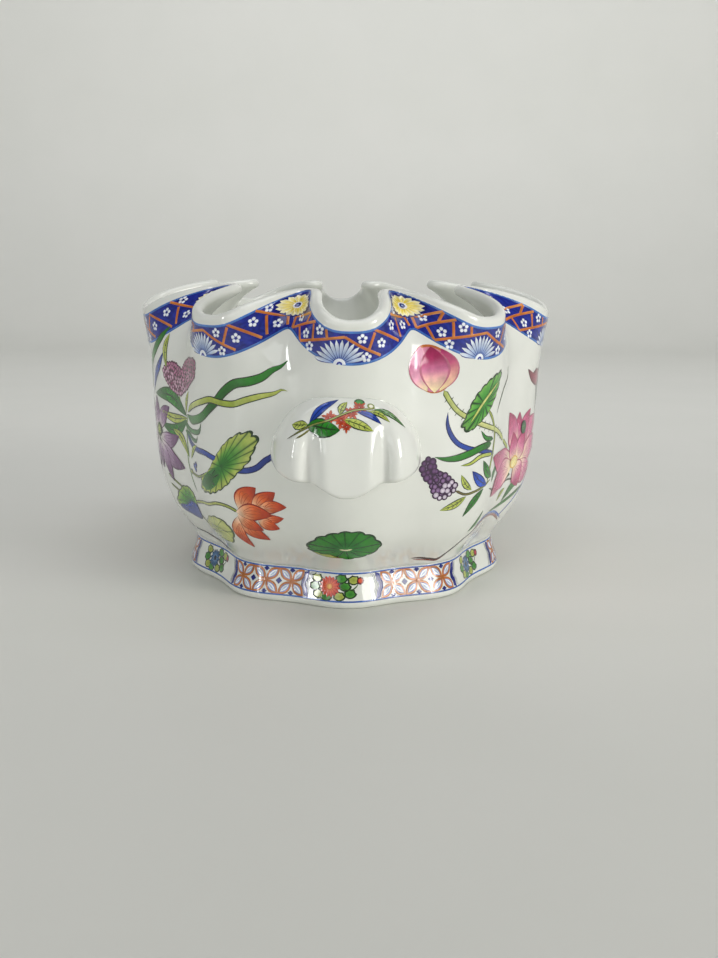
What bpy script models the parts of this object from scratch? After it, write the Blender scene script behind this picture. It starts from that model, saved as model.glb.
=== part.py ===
"""An oval porcelain cooler on a foot, with a notched rim and a shell handle at each end.

The long axis of the oval lies along Y, and the origin is at the middle of what the foot stands on.
The wall has ten flutes. Between the notches of the rim the wall rises in points that curl inwards.
Body, foot and handles are thrown or pressed on their own and then luted together with slip.
"""

import bpy
import bmesh
import numpy as np

# Driving dimensions, in millimetres
FLUTES = 10
FOOT_HEIGHT = 16.4           # from the ground to the seam under the body
NOTCH_HEIGHT = 130.3         # edge of the wall at the bottom of a notch, at the sides of the oval
POINT_RISE = 14.6            # a point's tip stands this much above the notches
POINT_HEIGHT = NOTCH_HEIGHT + POINT_RISE
END_DIP = 2.2                # the rim runs this much lower at the two narrow ends
RIM_HALF_WIDTH = 104.2
RIM_HALF_LENGTH = 151.0
WAIST_HALF_WIDTH = 78.6      # where the body meets its foot
WAIST_HALF_LENGTH = 111.4
FLUTE_DEPTH = 4.6
CURL_DROP = 60.1             # the points begin to lean inwards this far below their tips
CURL_START = POINT_HEIGHT - CURL_DROP
CURL_REACH = 32.5            # how far a tip leans in past the flute
WALL = 5.0
FLOOR = 6.0
FLOOR_TURN = 20.0            # height over which the inner wall turns into the floor
FLOOR_FLAT = 0.55            # the last ring of the floor's turn, as a share of the inner wall's foot
SLIP_JOINT = 0.3             # gap left for the slip between two luted pieces
FOOT_FLARE = 3.9             # the ground edge of the foot stands out this far past the waist
FOOT_WALL = 6.6
FOOT_EDGE = 2.4              # round of the foot's ground edge
HANDLE_WIDTH = 64.5
HANDLE_SHIFT = -1.5          # the handles sit this much to one side of the middle
HANDLE_REACH = 17.0          # how far a handle stands out from the wall
HANDLE_TOP = 103.0           # the crown runs into the wall just under this height
HANDLE_LOWEST = 61.2         # the middle lobe of the lower edge hangs to here
HANDLE_WALL = 4.6
HANDLE_SQUARE = 4.0          # 2 would make the handle round in plan, and more makes it squarer
HANDLE_ARCH = 2.3            # the same for the line of its crown, seen from the end
HANDLE_BULGE = 0.8           # 1 would make its slope from crown to lip a plain quarter round
HANDLE_ROOT = 14.0           # the handle's shape is drawn on this far inwards, then cut to the wall

# The wall's outline: share of the height from waist to notch, share of the spread from waist to rim
OUTLINE = [(0.0, 0.0), (0.036, 0.09), (0.082, 0.24), (0.154, 0.45), (0.263, 0.63), (0.398, 0.745),
           (0.579, 0.80), (0.76, 0.84), (0.896, 0.915), (1.0, 1.0), (1.13, 1.10)]
# The handle's three lobes along its lower edge: share of the half width, height above the lowest place
LOBES = [(0.0, 0.0), (0.1, 0.3), (0.2, 1.6), (0.3, 3.5), (0.4, 5.1), (0.55, 6.1), (0.76, 7.3), (0.92, 9.5),
         (1.0, 12.8)]
GROOVE_PLACE, GROOVE_WIDTH, GROOVE_DEPTH = 0.47, 0.12, 0.16   # between the lobes, as shares
GROOVE_FADE = 4              # how fast a groove fades out up the slope
# The foot's outline: share of its height, share of its flare
FOOT_OUTLINE = [(1.0, 0.10), (0.86, 0.16), (0.62, 0.42), (0.38, 0.78), (0.16, 1.0)]

COLUMNS_PER_FLUTE = 10
WALL_ROWS = [0.0, 0.03, 0.07, 0.13, 0.21, 0.33, 0.48, 0.63, 0.75, 0.84, 0.91, 0.96, 1.0]
LIP_STEPS = 4
FLOOR_STEPS = 5
HANDLE_COLUMNS = 28
HANDLE_ROWS = 9
HANDLE_ENDS = 0.985          # the last sections stop just short of the width, where they would vanish
CUTTER_SHARE = 0.9           # the cutter for the handles' backs takes the wall's rows up to here
SHARP_ANGLE = 40.0           # degrees
THINNEST = 0.5               # the hollow's outline never closes up further than this
MM = 0.001

GLAZE = (0.80, 0.82, 0.80, 1.0)


def smooth_curve(x, points):
    """Read a smooth curve through the points at x, with a cubic in each span."""
    xs, ys = np.array(points, float).T
    slopes = np.gradient(ys, xs)
    x = np.clip(x, xs[0], xs[-1])
    span = np.clip(np.searchsorted(xs, x, side="right") - 1, 0, len(xs) - 2)
    width = xs[span + 1] - xs[span]
    s = (x - xs[span]) / width
    start, end = ys[span], ys[span + 1]
    leave, arrive = slopes[span] * width, slopes[span + 1] * width
    return ((2 * s**3 - 3 * s**2 + 1) * start + (s**3 - 2 * s**2 + s) * leave
            + (3 * s**2 - 2 * s**3) * end + (s**3 - s**2) * arrive)


def blend(low, high, x):
    """Ease from 0 at low to 1 at high."""
    s = np.clip((x - low) / (high - low), 0.0, 1.0)
    return s * s * (3 - 2 * s)


def valley(angle, sharpness):
    """How far a place on the plan is into the valley between two flutes, from 0 to 1."""
    return np.abs(np.sin(FLUTES / 2 * angle)) ** sharpness


def end_dip(angle):
    return END_DIP * np.cos(angle) ** 2


def edge_height(angle):
    """Height at which the wall's outer face ends and the round of the lip begins."""
    return NOTCH_HEIGHT + (POINT_HEIGHT - NOTCH_HEIGHT) * valley(angle, 2.5) - end_dip(angle)


def oval_point(angle, half_width, half_length, inset, height):
    """A place on an oval, moved inwards square to it. Angle 0 is the -Y end, and it turns towards +X."""
    out = np.stack([np.sin(angle) / half_width, -np.cos(angle) / half_length], -1)
    out /= np.linalg.norm(out, axis=-1, keepdims=True)
    x = half_width * np.sin(angle) - inset * out[..., 0]
    y = -half_length * np.cos(angle) - inset * out[..., 1]
    return np.stack([x, y, height + 0 * x], -1)


def wall_point(angle, height):
    """The wall's outer face at an angle on the plan and a height."""
    spread = smooth_curve((height - FOOT_HEIGHT) / (NOTCH_HEIGHT - FOOT_HEIGHT), OUTLINE)
    half_width = WAIST_HALF_WIDTH + spread * (RIM_HALF_WIDTH - WAIST_HALF_WIDTH)
    half_length = WAIST_HALF_LENGTH + spread * (RIM_HALF_LENGTH - WAIST_HALF_LENGTH)
    lifted = height + end_dip(angle)
    curl = np.clip((lifted - CURL_START) / (POINT_HEIGHT - CURL_START), 0.0, None) ** 4
    sharpness = 2.0 + blend(CURL_START, NOTCH_HEIGHT, lifted)
    inset = (FLUTE_DEPTH + CURL_REACH * curl) * valley(angle, sharpness)
    return oval_point(angle, half_width, half_length, inset, height)


def plan_angles():
    return np.arange(FLUTES * COLUMNS_PER_FLUTE) * 2 * np.pi / (FLUTES * COLUMNS_PER_FLUTE)


def unit(vectors):
    return vectors / np.linalg.norm(vectors, axis=-1, keepdims=True)


def wall_faces_out(angle, height):
    """The direction square to the wall's outer face."""
    step = 0.002
    along = wall_point(angle + step, height) - wall_point(angle - step, height)
    up = wall_point(angle, height + step) - wall_point(angle, height - step)
    return unit(np.cross(along, up))


def half_round(edge, out, up, radius, steps):
    """Rows of points round a lip, from the outer face over the edge to the inner face."""
    turns = np.linspace(0, np.pi, steps + 1)[1:-1]
    return [edge - radius * out + radius * (np.cos(a) * out + np.sin(a) * up) for a in turns]


def skin(name, rows, closed_round, colour=None):
    """One closed solid from rows of points. The first and last rows are capped or joined."""
    mesh = bpy.data.meshes.new(name)
    build = bmesh.new()
    rings = [[build.verts.new(p * MM) for p in row] for row in rows]
    count = len(rings[0])
    for lower, upper in zip(rings, rings[1:] + ([rings[0]] if closed_round else [])):
        for i in range(count):
            j = (i + 1) % count
            build.faces.new((lower[i], lower[j], upper[j], upper[i]))
    if not closed_round:
        build.faces.new(reversed(rings[0]))
        build.faces.new(rings[-1])
    bmesh.ops.recalc_face_normals(build, faces=build.faces)
    build.to_mesh(mesh)
    build.free()
    mesh.shade_smooth()
    mesh.set_sharp_from_angle(angle=np.radians(SHARP_ANGLE))
    piece = bpy.data.objects.new(name, mesh)
    bpy.context.scene.collection.objects.link(piece)
    if colour:
        mesh.materials.append(colour)
    return piece


def porcelain(name, colour, roughness):
    material = bpy.data.materials.new(name)
    material.use_nodes = True
    surface = material.node_tree.nodes["Principled BSDF"]
    surface.inputs["Base Color"].default_value = colour
    surface.inputs["Roughness"].default_value = roughness
    surface.inputs["Metallic"].default_value = 0.0
    return material


def wall_rows():
    """The wall's outer face row by row, from its seat on the foot to the lip, and the way out of each row."""
    angle = plan_angles()
    seat = FOOT_HEIGHT + SLIP_JOINT
    heights = [seat + share * (edge_height(angle) - seat) for share in WALL_ROWS]
    return [wall_point(angle, z) for z in heights], [wall_faces_out(angle, z) for z in heights]


def body(glaze):
    """The fluted wall with its round lip and its floor, in one piece."""
    seat = FOOT_HEIGHT + SLIP_JOINT
    outer, faces_out = wall_rows()
    edge = outer[-1]
    along = unit(np.roll(edge, -1, axis=0) - np.roll(edge, 1, axis=0))
    up = unit(np.cross(faces_out[-1], along))
    lip = half_round(edge, faces_out[-1], up, WALL / 2, LIP_STEPS)
    floor_top = seat + FLOOR
    lowest_share = (floor_top + FLOOR_TURN - seat) / (NOTCH_HEIGHT - seat)
    inner = [o - WALL * n for o, n, share in zip(outer, faces_out, WALL_ROWS) if share > lowest_share]
    lowest = inner[0]
    rows = outer + lip + inner[::-1]
    for step in range(1, FLOOR_STEPS + 1):
        a = np.pi / 2 * step / FLOOR_STEPS
        shrink = FLOOR_FLAT + (1 - FLOOR_FLAT) * np.cos(a)
        ring = lowest * [shrink, shrink, 1.0]
        ring[:, 2] = floor_top + (lowest[:, 2] - floor_top) * (1 - np.sin(a))
        rows.append(ring)
    return skin("bowl_body", rows, False, glaze)


def foot(glaze):
    """The flared ring that the body stands on."""
    angle = plan_angles()
    flute = FLUTE_DEPTH * valley(angle, 2.0)

    def row(out, height):
        return oval_point(angle, WAIST_HALF_WIDTH + out, WAIST_HALF_LENGTH + out, flute, height)

    rows = [row(share * FOOT_FLARE, height * FOOT_HEIGHT) for height, share in FOOT_OUTLINE]
    corner = FOOT_EDGE * (1 - np.sqrt(0.5))
    rows += [row(FOOT_FLARE - corner, corner), row(FOOT_FLARE - FOOT_EDGE, 0.0)]
    inner = FOOT_FLARE - FOOT_WALL
    rows += [row(inner + FOOT_EDGE / 2, 0.0), row(inner, FOOT_EDGE / 2)]
    rows += [row(inner - FOOT_FLARE, FOOT_HEIGHT)]
    return skin("foot_ring", rows, True, glaze)


def wall_cutter():
    """The space that the wall and the slip on it take up, for cutting the back of a handle."""
    outer, faces_out = wall_rows()
    rows = [o + SLIP_JOINT * n for o, n, share in zip(outer, faces_out, WALL_ROWS) if share < CUTTER_SHARE]
    cutter = skin("wall_cutter", rows, False)
    cutter.hide_render = True
    cutter.display_type = "WIRE"
    return cutter


def handle(name, end, cutter, glaze):
    """A shell-shaped lug with three lobes, open underneath for the fingers. End is -1 or 1, along Y."""
    half = HANDLE_WIDTH / 2
    deep = HANDLE_REACH + HANDLE_ROOT
    turns = np.linspace(0, np.pi / 2, HANDLE_ROWS)
    rounding = np.linspace(0, np.pi, LIP_STEPS + 2)[1:-1]
    sections = []
    for u in np.linspace(-HANDLE_ENDS, HANDLE_ENDS, HANDLE_COLUMNS + 1):
        low = HANDLE_LOWEST + smooth_curve(abs(u), LOBES)
        within = min(abs(u * half / (half - HANDLE_WALL)), 1.0)
        groove = 1 - GROOVE_DEPTH * np.exp(-((abs(u) - GROOVE_PLACE) / GROOVE_WIDTH) ** 2)
        reach = deep * (1 - abs(u) ** HANDLE_SQUARE) ** 0.5
        reach_in = max((deep - HANDLE_WALL) * (1 - within**HANDLE_SQUARE) ** 0.5, THINNEST)
        rise = (HANDLE_TOP - low) * (1 - abs(u) ** HANDLE_ARCH) ** 0.5
        rise_in = max((HANDLE_TOP - HANDLE_WALL - low) * (1 - within**HANDLE_ARCH) ** 0.5, THINNEST)
        slope = [(np.sin(a) ** HANDLE_BULGE, np.cos(a) ** HANDLE_BULGE) for a in turns]
        grooved = [(s * (1 - (1 - groove) * s**GROOVE_FADE), c) for s, c in slope]
        middle, half_lip = (reach + reach_in) * groove / 2, (reach - reach_in) * groove / 2
        hang = min(half_lip, HANDLE_WALL / 2)
        outside = [(reach * s, low + rise * c) for s, c in grooved]
        lip = [(middle + half_lip * np.cos(a), low - hang * np.sin(a)) for a in rounding]
        inside = [(reach_in * s, low + rise_in * c) for s, c in grooved]
        section = []
        for out, z in outside + lip + inside[::-1]:
            wall_y = wall_point(np.array(0.0), np.array(z))[1]
            section.append([-end * (half * u + HANDLE_SHIFT), end * (out - HANDLE_ROOT - wall_y), z])
        sections.append(np.array(section))
    piece = skin(name, sections, False, glaze)
    trim = piece.modifiers.new("fit_to_wall", "BOOLEAN")
    trim.operation = "DIFFERENCE"
    trim.object = cutter
    return piece


def main():
    for thing in list(bpy.data.objects):
        bpy.data.objects.remove(thing)
    glaze = porcelain("glazed_porcelain", GLAZE, 0.12)
    body(glaze)
    foot(glaze)
    cutter = wall_cutter()
    handle("front_handle", -1, cutter, glaze)
    handle("back_handle", 1, cutter, glaze)


main()
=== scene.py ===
"""An oval porcelain glass cooler with a waved rim, two shell handles and a painted famille rose pattern.

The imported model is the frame. Each section below makes one piece or one group of like pieces, in the
order in which a pottery puts them together: pressed clay first, then the painting.
Sizes are in millimetres. The long axis lies along Y, and the front handle is at the -Y end.
"""

import bpy
import numpy as np
from mathutils import Matrix, Vector


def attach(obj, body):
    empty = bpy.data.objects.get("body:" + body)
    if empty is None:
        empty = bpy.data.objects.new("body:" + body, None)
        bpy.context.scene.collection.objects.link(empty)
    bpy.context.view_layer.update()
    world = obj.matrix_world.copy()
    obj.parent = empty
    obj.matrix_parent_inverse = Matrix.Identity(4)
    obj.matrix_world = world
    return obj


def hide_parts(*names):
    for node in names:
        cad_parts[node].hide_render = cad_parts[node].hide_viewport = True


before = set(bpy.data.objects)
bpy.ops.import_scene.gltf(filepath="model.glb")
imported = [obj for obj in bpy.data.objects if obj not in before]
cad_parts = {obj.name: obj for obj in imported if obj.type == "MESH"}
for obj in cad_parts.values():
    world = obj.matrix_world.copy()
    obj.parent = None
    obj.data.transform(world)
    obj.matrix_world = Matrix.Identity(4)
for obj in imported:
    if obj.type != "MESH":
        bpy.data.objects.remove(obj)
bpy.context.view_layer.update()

bpy.ops.object.select_all(action="DESELECT")


# ---------------------------------------------------------------- the bowl
# A deep oval wall with ten flutes, pressed in a mould from white porcelain clay. Its rim was cut in
# waves, and the points between the notches were leaned inwards while the clay was soft. Then it was
# glazed and fired hard.

MM = 0.001
FLUTES = 10
FLUTE_ANGLE = 2 * np.pi / FLUTES
FOOT_HEIGHT = 16.4
NOTCH_HEIGHT = 130.3
POINT_HEIGHT = 144.9
END_DIP = 2.2
RIM_HALF_WIDTH, RIM_HALF_LENGTH = 104.2, 151.0
WAIST_HALF_WIDTH, WAIST_HALF_LENGTH = 78.6, 111.4
FLUTE_DEPTH = 4.6
CURL_START = 84.8
CURL_REACH = 32.5
WALL = 5.0
FLOOR = 6.0
FLOOR_TURN = 18.0            # the inside starts to turn into the floor this far above it
FLOOR_DRAWN_IN = 0.45        # and takes up this share of the way to the middle
UNDER_HOLLOW = 1.5           # the underside is hollowed this much in the middle
SLIP_JOINT = 0.3
HAND_RIPPLE = 0.10           # the fired wall is never quite true
OUTLINE = [(0.0, 0.0), (0.036, 0.09), (0.082, 0.24), (0.154, 0.45), (0.263, 0.63), (0.398, 0.745),
           (0.579, 0.80), (0.76, 0.84), (0.896, 0.915), (1.0, 1.0), (1.13, 1.10)]
COLUMNS = 600
WALL_ROWS = 62
WALL_CROWDING = 1.05         # the rows lie a little closer towards the foot
LIP_ROWS = 9
FLOOR_ROWS = 12


def smooth_curve(x, points):
    """Read a smooth curve through the points at x, with a cubic in each span."""
    xs, ys = np.array(points, float).T
    slopes = np.gradient(ys, xs)
    x = np.clip(x, xs[0], xs[-1])
    span = np.clip(np.searchsorted(xs, x, side="right") - 1, 0, len(xs) - 2)
    width = xs[span + 1] - xs[span]
    s = (x - xs[span]) / width
    start, end = ys[span], ys[span + 1]
    leave, arrive = slopes[span] * width, slopes[span + 1] * width
    return ((2 * s**3 - 3 * s**2 + 1) * start + (s**3 - 2 * s**2 + s) * leave
            + (3 * s**2 - 2 * s**3) * end + (s**3 - s**2) * arrive)


def ease(low, high, x):
    """Rise smoothly from 0 at low to 1 at high."""
    s = np.clip((x - low) / (high - low), 0.0, 1.0)
    return s * s * (3 - 2 * s)


def unit(vectors):
    return vectors / np.linalg.norm(vectors, axis=-1, keepdims=True)


def valley(angle, sharpness):
    """How far a place on the plan is into the valley between two flutes, from 0 to 1."""
    return np.abs(np.sin(FLUTES / 2 * angle)) ** sharpness


def end_dip(angle):
    return END_DIP * np.cos(angle) ** 2


def edge_height(angle):
    return NOTCH_HEIGHT + (POINT_HEIGHT - NOTCH_HEIGHT) * valley(angle, 2.5) - end_dip(angle)


def oval_point(angle, half_width, half_length, inset, height):
    """A place on an oval, moved inwards square to it. Angle 0 is the -Y end, and it turns towards +X."""
    out = unit(np.stack([np.sin(angle) / half_width, -np.cos(angle) / half_length], -1))
    x = half_width * np.sin(angle) - inset * out[..., 0]
    y = -half_length * np.cos(angle) - inset * out[..., 1]
    return np.stack([x, y, height + 0 * x], -1)


def wall_point(angle, height):
    """The wall's outer face at an angle on the plan and a height."""
    spread = smooth_curve((height - FOOT_HEIGHT) / (NOTCH_HEIGHT - FOOT_HEIGHT), OUTLINE)
    half_width = WAIST_HALF_WIDTH + spread * (RIM_HALF_WIDTH - WAIST_HALF_WIDTH)
    half_length = WAIST_HALF_LENGTH + spread * (RIM_HALF_LENGTH - WAIST_HALF_LENGTH)
    lifted = height + end_dip(angle)
    curl = np.clip((lifted - CURL_START) / (POINT_HEIGHT - CURL_START), 0.0, None) ** 4
    sharpness = 2.0 + ease(CURL_START, NOTCH_HEIGHT, lifted)
    ripple = HAND_RIPPLE * np.sin(6 * angle + height / 14) * np.sin(height / 9 + 2 * np.cos(2 * angle))
    inset = (FLUTE_DEPTH + CURL_REACH * curl) * valley(angle, sharpness) + ripple
    return oval_point(angle, half_width, half_length, inset, height)


def wall_faces_out(angle, height):
    """The direction square to the wall's outer face."""
    step = 0.002
    along = wall_point(angle + step, height) - wall_point(angle - step, height)
    up = wall_point(angle, height + step) - wall_point(angle, height - step)
    return unit(np.cross(along, up))


def press_clay(name, places):
    """A flat grid of clay pressed to rows of places. Where rows or columns meet, they are luted shut."""
    rows, columns = places.shape[:2]
    bpy.ops.mesh.primitive_grid_add(x_subdivisions=columns - 1, y_subdivisions=rows - 1, size=1)
    piece = bpy.context.object
    piece.name = piece.data.name = name
    piece.data.vertices.foreach_set("co", (places * MM).astype(np.float32).ravel())
    bpy.ops.object.mode_set(mode="EDIT")
    bpy.ops.mesh.select_all(action="SELECT")
    bpy.ops.mesh.remove_doubles(threshold=1e-6)
    bpy.ops.mesh.normals_make_consistent(inside=False)
    bpy.ops.object.mode_set(mode="OBJECT")
    bpy.ops.object.shade_smooth()
    piece.select_set(False)
    return piece


def srgb(colour):
    """An sRGB hex colour as linear red, green and blue."""
    parts = np.array([int(colour[i:i + 2], 16) for i in (1, 3, 5)]) / 255
    return np.where(parts <= 0.04045, parts / 12.92, ((parts + 0.055) / 1.055) ** 2.4)


def set_inputs(owner, node, values=(), links=()):
    """Set a node's inputs to values, or link them to the outputs of other nodes."""
    for key, value in dict(values).items():
        node.inputs[key].default_value = value
    for key, (other, socket) in dict(links).items():
        owner.node_tree.links.new(other.outputs[socket], node.inputs[key])
    return node


def add_node(owner, kind, values=(), links=(), **settings):
    """Add a node to a material or a world, with its settings and its inputs."""
    made = owner.node_tree.nodes.new(kind)
    for key, value in settings.items():
        setattr(made, key, value)
    return set_inputs(owner, made, values, links)


def glazed_porcelain(name, thin, thick):
    """Hard-paste porcelain under a clear glaze: cool white, wet-looking, with a slow waviness in the glaze
    that bends each reflection, a faint green where the glaze lies thick, and an iron speck here and there."""
    material = bpy.data.materials.new(name)
    material.use_nodes = True
    surface = material.node_tree.nodes["Principled BSDF"]
    set_inputs(material, surface,
               {"Roughness": 0.07, "IOR": 1.52, "Coat Weight": 0.35, "Coat Roughness": 0.03})
    place = add_node(material, "ShaderNodeTexCoord")
    drift = add_node(material, "ShaderNodeTexNoise", {"Scale": 1 / (28 * MM), "Detail": 3.0},
                     {"Vector": (place, "Object")})
    cast = add_node(material, "ShaderNodeMix", {0: 0.5, 6: (*srgb(thin), 1), 7: (*srgb(thick), 1)},
                    {0: (drift, "Fac")}, data_type="RGBA")
    cells = add_node(material, "ShaderNodeTexVoronoi", {"Scale": 1 / (42 * MM)},
                     {"Vector": (place, "Object")})
    speck = add_node(material, "ShaderNodeMapRange", {"From Min": 0.006, "From Max": 0.010},
                     {"Value": (cells, "Distance")})
    dotted = add_node(material, "ShaderNodeMix", {6: (*srgb("#6d6252"), 1)},
                      {0: (speck, "Result"), 7: (cast, 2)}, data_type="RGBA")
    wave = add_node(material, "ShaderNodeTexNoise", {"Scale": 1 / (16 * MM), "Detail": 1.0},
                    {"Vector": (place, "Object")})
    peel = add_node(material, "ShaderNodeTexNoise", {"Scale": 1 / (2.2 * MM), "Detail": 2.0},
                    {"Vector": (place, "Object")})
    slow = add_node(material, "ShaderNodeBump", {"Strength": 0.5, "Distance": 0.16 * MM},
                    {"Height": (wave, "Fac")})
    fine = add_node(material, "ShaderNodeBump", {"Strength": 0.25, "Distance": 0.010 * MM},
                    {"Height": (peel, "Fac"), "Normal": (slow, "Normal")})
    set_inputs(material, surface, links={"Base Color": (dotted, 2), "Normal": (fine, "Normal")})
    return material


def set_off(piece, slot, *nodes):
    """The finished piece rides with the object and stands for its plain solid."""
    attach(piece, "root")
    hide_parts(*nodes)


turn = np.linspace(0, 2 * np.pi, COLUMNS + 1)
turn[-1] = 0.0
seat = FOOT_HEIGHT + SLIP_JOINT
shares = np.linspace(0, 1, WALL_ROWS) ** WALL_CROWDING
heights = [seat + share * (edge_height(turn) - seat) for share in shares]
outer = [wall_point(turn, z) for z in heights]
facing = [wall_faces_out(turn, z) for z in heights]
rim = outer[-1]
rim_run = unit(np.roll(rim[:-1], -1, axis=0) - np.roll(rim[:-1], 1, axis=0))
rim_run = np.concatenate([rim_run, rim_run[:1]])
rim_up = unit(np.cross(facing[-1], rim_run))
lip = [rim + WALL / 2 * ((np.cos(a) - 1) * facing[-1] + np.sin(a) * rim_up)
       for a in np.linspace(0, np.pi, LIP_ROWS + 2)[1:-1]]
floor_top = seat + FLOOR
inner = [o - WALL * n for o, n in zip(outer, facing) if o[0, 2] > floor_top + FLOOR_TURN]
well = []
for a in np.linspace(0, np.pi / 2, FLOOR_ROWS + 1)[1:]:
    draw_in = 1 - FLOOR_DRAWN_IN * (1 - np.cos(a)) ** 1.1
    ring = inner[0] * [draw_in, draw_in, 1.0]
    ring[:, 2] = floor_top + (inner[0][:, 2] - floor_top) * (1 - np.sin(a)) ** 1.15
    well.append(ring)
well += [well[-1] * [share, share, 1.0] for share in (0.66, 0.33, 0.0)]
base = [outer[0] * [share, share, 1.0] + [0, 0, UNDER_HOLLOW * (1 - share**2)]
        for share in (0.0, 0.35, 0.7, 0.93)]
bowl = press_clay("bowl_body_glazed", np.array(base + outer + lip + inner[::-1] + well))
bowl_glaze = glazed_porcelain("hard_paste_porcelain_clear_glaze", "#e9eae4", "#dfe2da")
bowl.data.materials.append(bowl_glaze)
set_off(bowl, "body_glaze", "bowl_body")


# ---------------------------------------------------------------- the foot
# A low flared ring, pressed on its own with the same ten flutes and luted under the bowl with slip.
# Its ground edge is rounded by the fettling sponge and left white below the painted band.

FOOT_FLARE = 3.9
FOOT_WALL = 6.6
FOOT_EDGE = 2.4
FOOT_INNER_EDGE = FOOT_EDGE * 0.6
FOOT_DRAFT = FOOT_FLARE * 0.9
FOOT_BAND_ROWS, FOOT_EDGE_ROWS, FOOT_INNER_ROWS = 18, 8, 5
FOOT_OUTLINE = [(0.16, 1.0), (0.38, 0.78), (0.62, 0.42), (0.86, 0.16), (1.0, 0.10)]


def foot_row(angle, out, height):
    flute = FLUTE_DEPTH * valley(angle, 2.0)
    return oval_point(angle, WAIST_HALF_WIDTH + out, WAIST_HALF_LENGTH + out, flute, height)


def foot_out(height):
    """How far the foot's outer face stands out past the waist, at a height."""
    return FOOT_FLARE * smooth_curve(height / FOOT_HEIGHT, FOOT_OUTLINE)


def foot_face(angle, height):
    """The foot's outer face, which rises over the slip joint towards its top."""
    return foot_row(angle, foot_out(height), height + SLIP_JOINT * ease(band_bottom, FOOT_HEIGHT, height))


band_bottom = FOOT_OUTLINE[0][0] * FOOT_HEIGHT
foot_rows = [foot_face(turn, z) for z in np.linspace(FOOT_HEIGHT, band_bottom, FOOT_BAND_ROWS)]
for a in np.linspace(0, np.pi / 2, FOOT_EDGE_ROWS)[1:]:
    foot_rows.append(foot_row(turn, FOOT_FLARE - FOOT_EDGE * (1 - np.cos(a)), band_bottom * (1 - np.sin(a))))
foot_inner = FOOT_FLARE - FOOT_WALL
for a in np.linspace(0, np.pi / 2, FOOT_INNER_ROWS):
    reach = foot_inner + FOOT_INNER_EDGE * (1 - np.sin(a))
    foot_rows.append(foot_row(turn, reach, FOOT_INNER_EDGE * (1 - np.cos(a))))
foot_rows.append(foot_row(turn, foot_inner - FOOT_DRAFT, FOOT_HEIGHT))
foot_rows.append(foot_rows[0])
foot = press_clay("foot_ring_glazed", np.array(foot_rows))
foot.data.materials.append(bowl_glaze)
set_off(foot, "foot_glaze", "foot_ring")


# ---------------------------------------------------------------- the handles
# Two shell-shaped lugs with three lobes each, pressed in a mould, open underneath for the fingers,
# and luted to the wall at the two narrow ends before the glazing.

HANDLE_WIDTH = 64.5
HANDLE_SHIFT = -1.5          # luted on by eye, a little to one side
HANDLE_REACH = 17.0
HANDLE_TOP = 103.0
HANDLE_WALL = 4.6
HANDLE_SQUARE = 4.0
HANDLE_ARCH = 2.3
HANDLE_BULGE = 0.8
HANDLE_ROOT = 14.0
HANDLE_SET_IN = 2.0          # how deep the shell's root is pressed into the wall
HANDLE_FILLET = 3.0          # slip smoothed round the joint with a wet finger
GROOVE_PLACE, GROOVE_WIDTH, GROOVE_DEPTH, GROOVE_FADE = 0.47, 0.12, 0.16, 4
# The lower edge of the three lobes: share of the half width, height
LOWER_EDGE = [(0.0, 61.2), (0.1, 61.5), (0.2, 62.8), (0.3, 64.7), (0.4, 66.3), (0.55, 67.3), (0.76, 68.5),
              (0.92, 70.7), (1.0, 74.0)]
HANDLE_TIPS = 0.997          # the shell stops just short of its two pointed tips
HANDLE_COLUMNS = 150
HANDLE_ROWS = 44


def wall_depth(x, z):
    """How far out the front wall lies at a place across and up, as a positive length along -Y."""
    angles = np.linspace(-0.7, 0.7, 71)
    face = wall_point(angles[:, None], np.ravel(z)[None, :])
    depth = [np.interp(a, face[:, i, 0], -face[:, i, 1]) for i, a in enumerate(np.ravel(x))]
    return np.array(depth).reshape(np.shape(x))


def shell_section(u, a, within, thickness):
    """A face of the handle at the -Y end: u runs across from -1 to 1, a from the crown down to the lip,
    and within is how far across the face itself the place is."""
    low = smooth_curve(np.abs(u), LOWER_EDGE)
    out, up = np.sin(a) ** HANDLE_BULGE, np.cos(a) ** HANDLE_BULGE
    groove = 1 - GROOVE_DEPTH * np.exp(-((np.abs(u) - GROOVE_PLACE) / GROOVE_WIDTH) ** 2) * out**GROOVE_FADE
    deep = (HANDLE_REACH + HANDLE_ROOT - thickness) * (1 - within**HANDLE_SQUARE) ** 0.5
    tall = (HANDLE_TOP - thickness - low) * (1 - within**HANDLE_ARCH) ** 0.5
    z = low + np.maximum(tall, 0.5) * up
    middle = -wall_point(np.zeros_like(z), z)[..., 1]
    y = np.maximum(deep, 0.5) * groove * out - HANDLE_ROOT + middle
    return np.stack([HANDLE_WIDTH / 2 * u + HANDLE_SHIFT + 0 * z, y, z], -1)


def shell_outside(u, a):
    return shell_section(u, a, np.abs(u), 0.0)


def shell_inside(u, a):
    return shell_section(u, a, np.minimum(np.abs(u) / (1 - 2 * HANDLE_WALL / HANDLE_WIDTH), 1.0), HANDLE_WALL)


across = np.sin(np.linspace(-1, 1, HANDLE_COLUMNS) * np.pi / 2) * HANDLE_TIPS
down = np.linspace(0, np.pi / 2, HANDLE_ROWS)
outside = shell_outside(across[:, None], down[None, :])
inside = shell_inside(across[:, None], down[None, ::-1])
faces_out = unit(np.cross(np.gradient(outside, axis=1), np.gradient(outside, axis=0)) + 1e-9)
flat = faces_out * [1.0, 0.0, 1.0]
flat /= np.maximum(np.linalg.norm(flat, axis=-1, keepdims=True), 1e-6)
clear = np.clip(outside[..., 1] - wall_depth(outside[..., 0], outside[..., 2]), 0, HANDLE_FILLET)
flare = HANDLE_FILLET - np.sqrt(HANDLE_FILLET**2 - (HANDLE_FILLET - clear) ** 2)
outside = outside + flat * flare[..., None]
middle = (outside[:, -1] + inside[:, 0]) / 2
half_lip = (outside[:, -1, 1] - inside[:, 0, 1]) / 2
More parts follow.
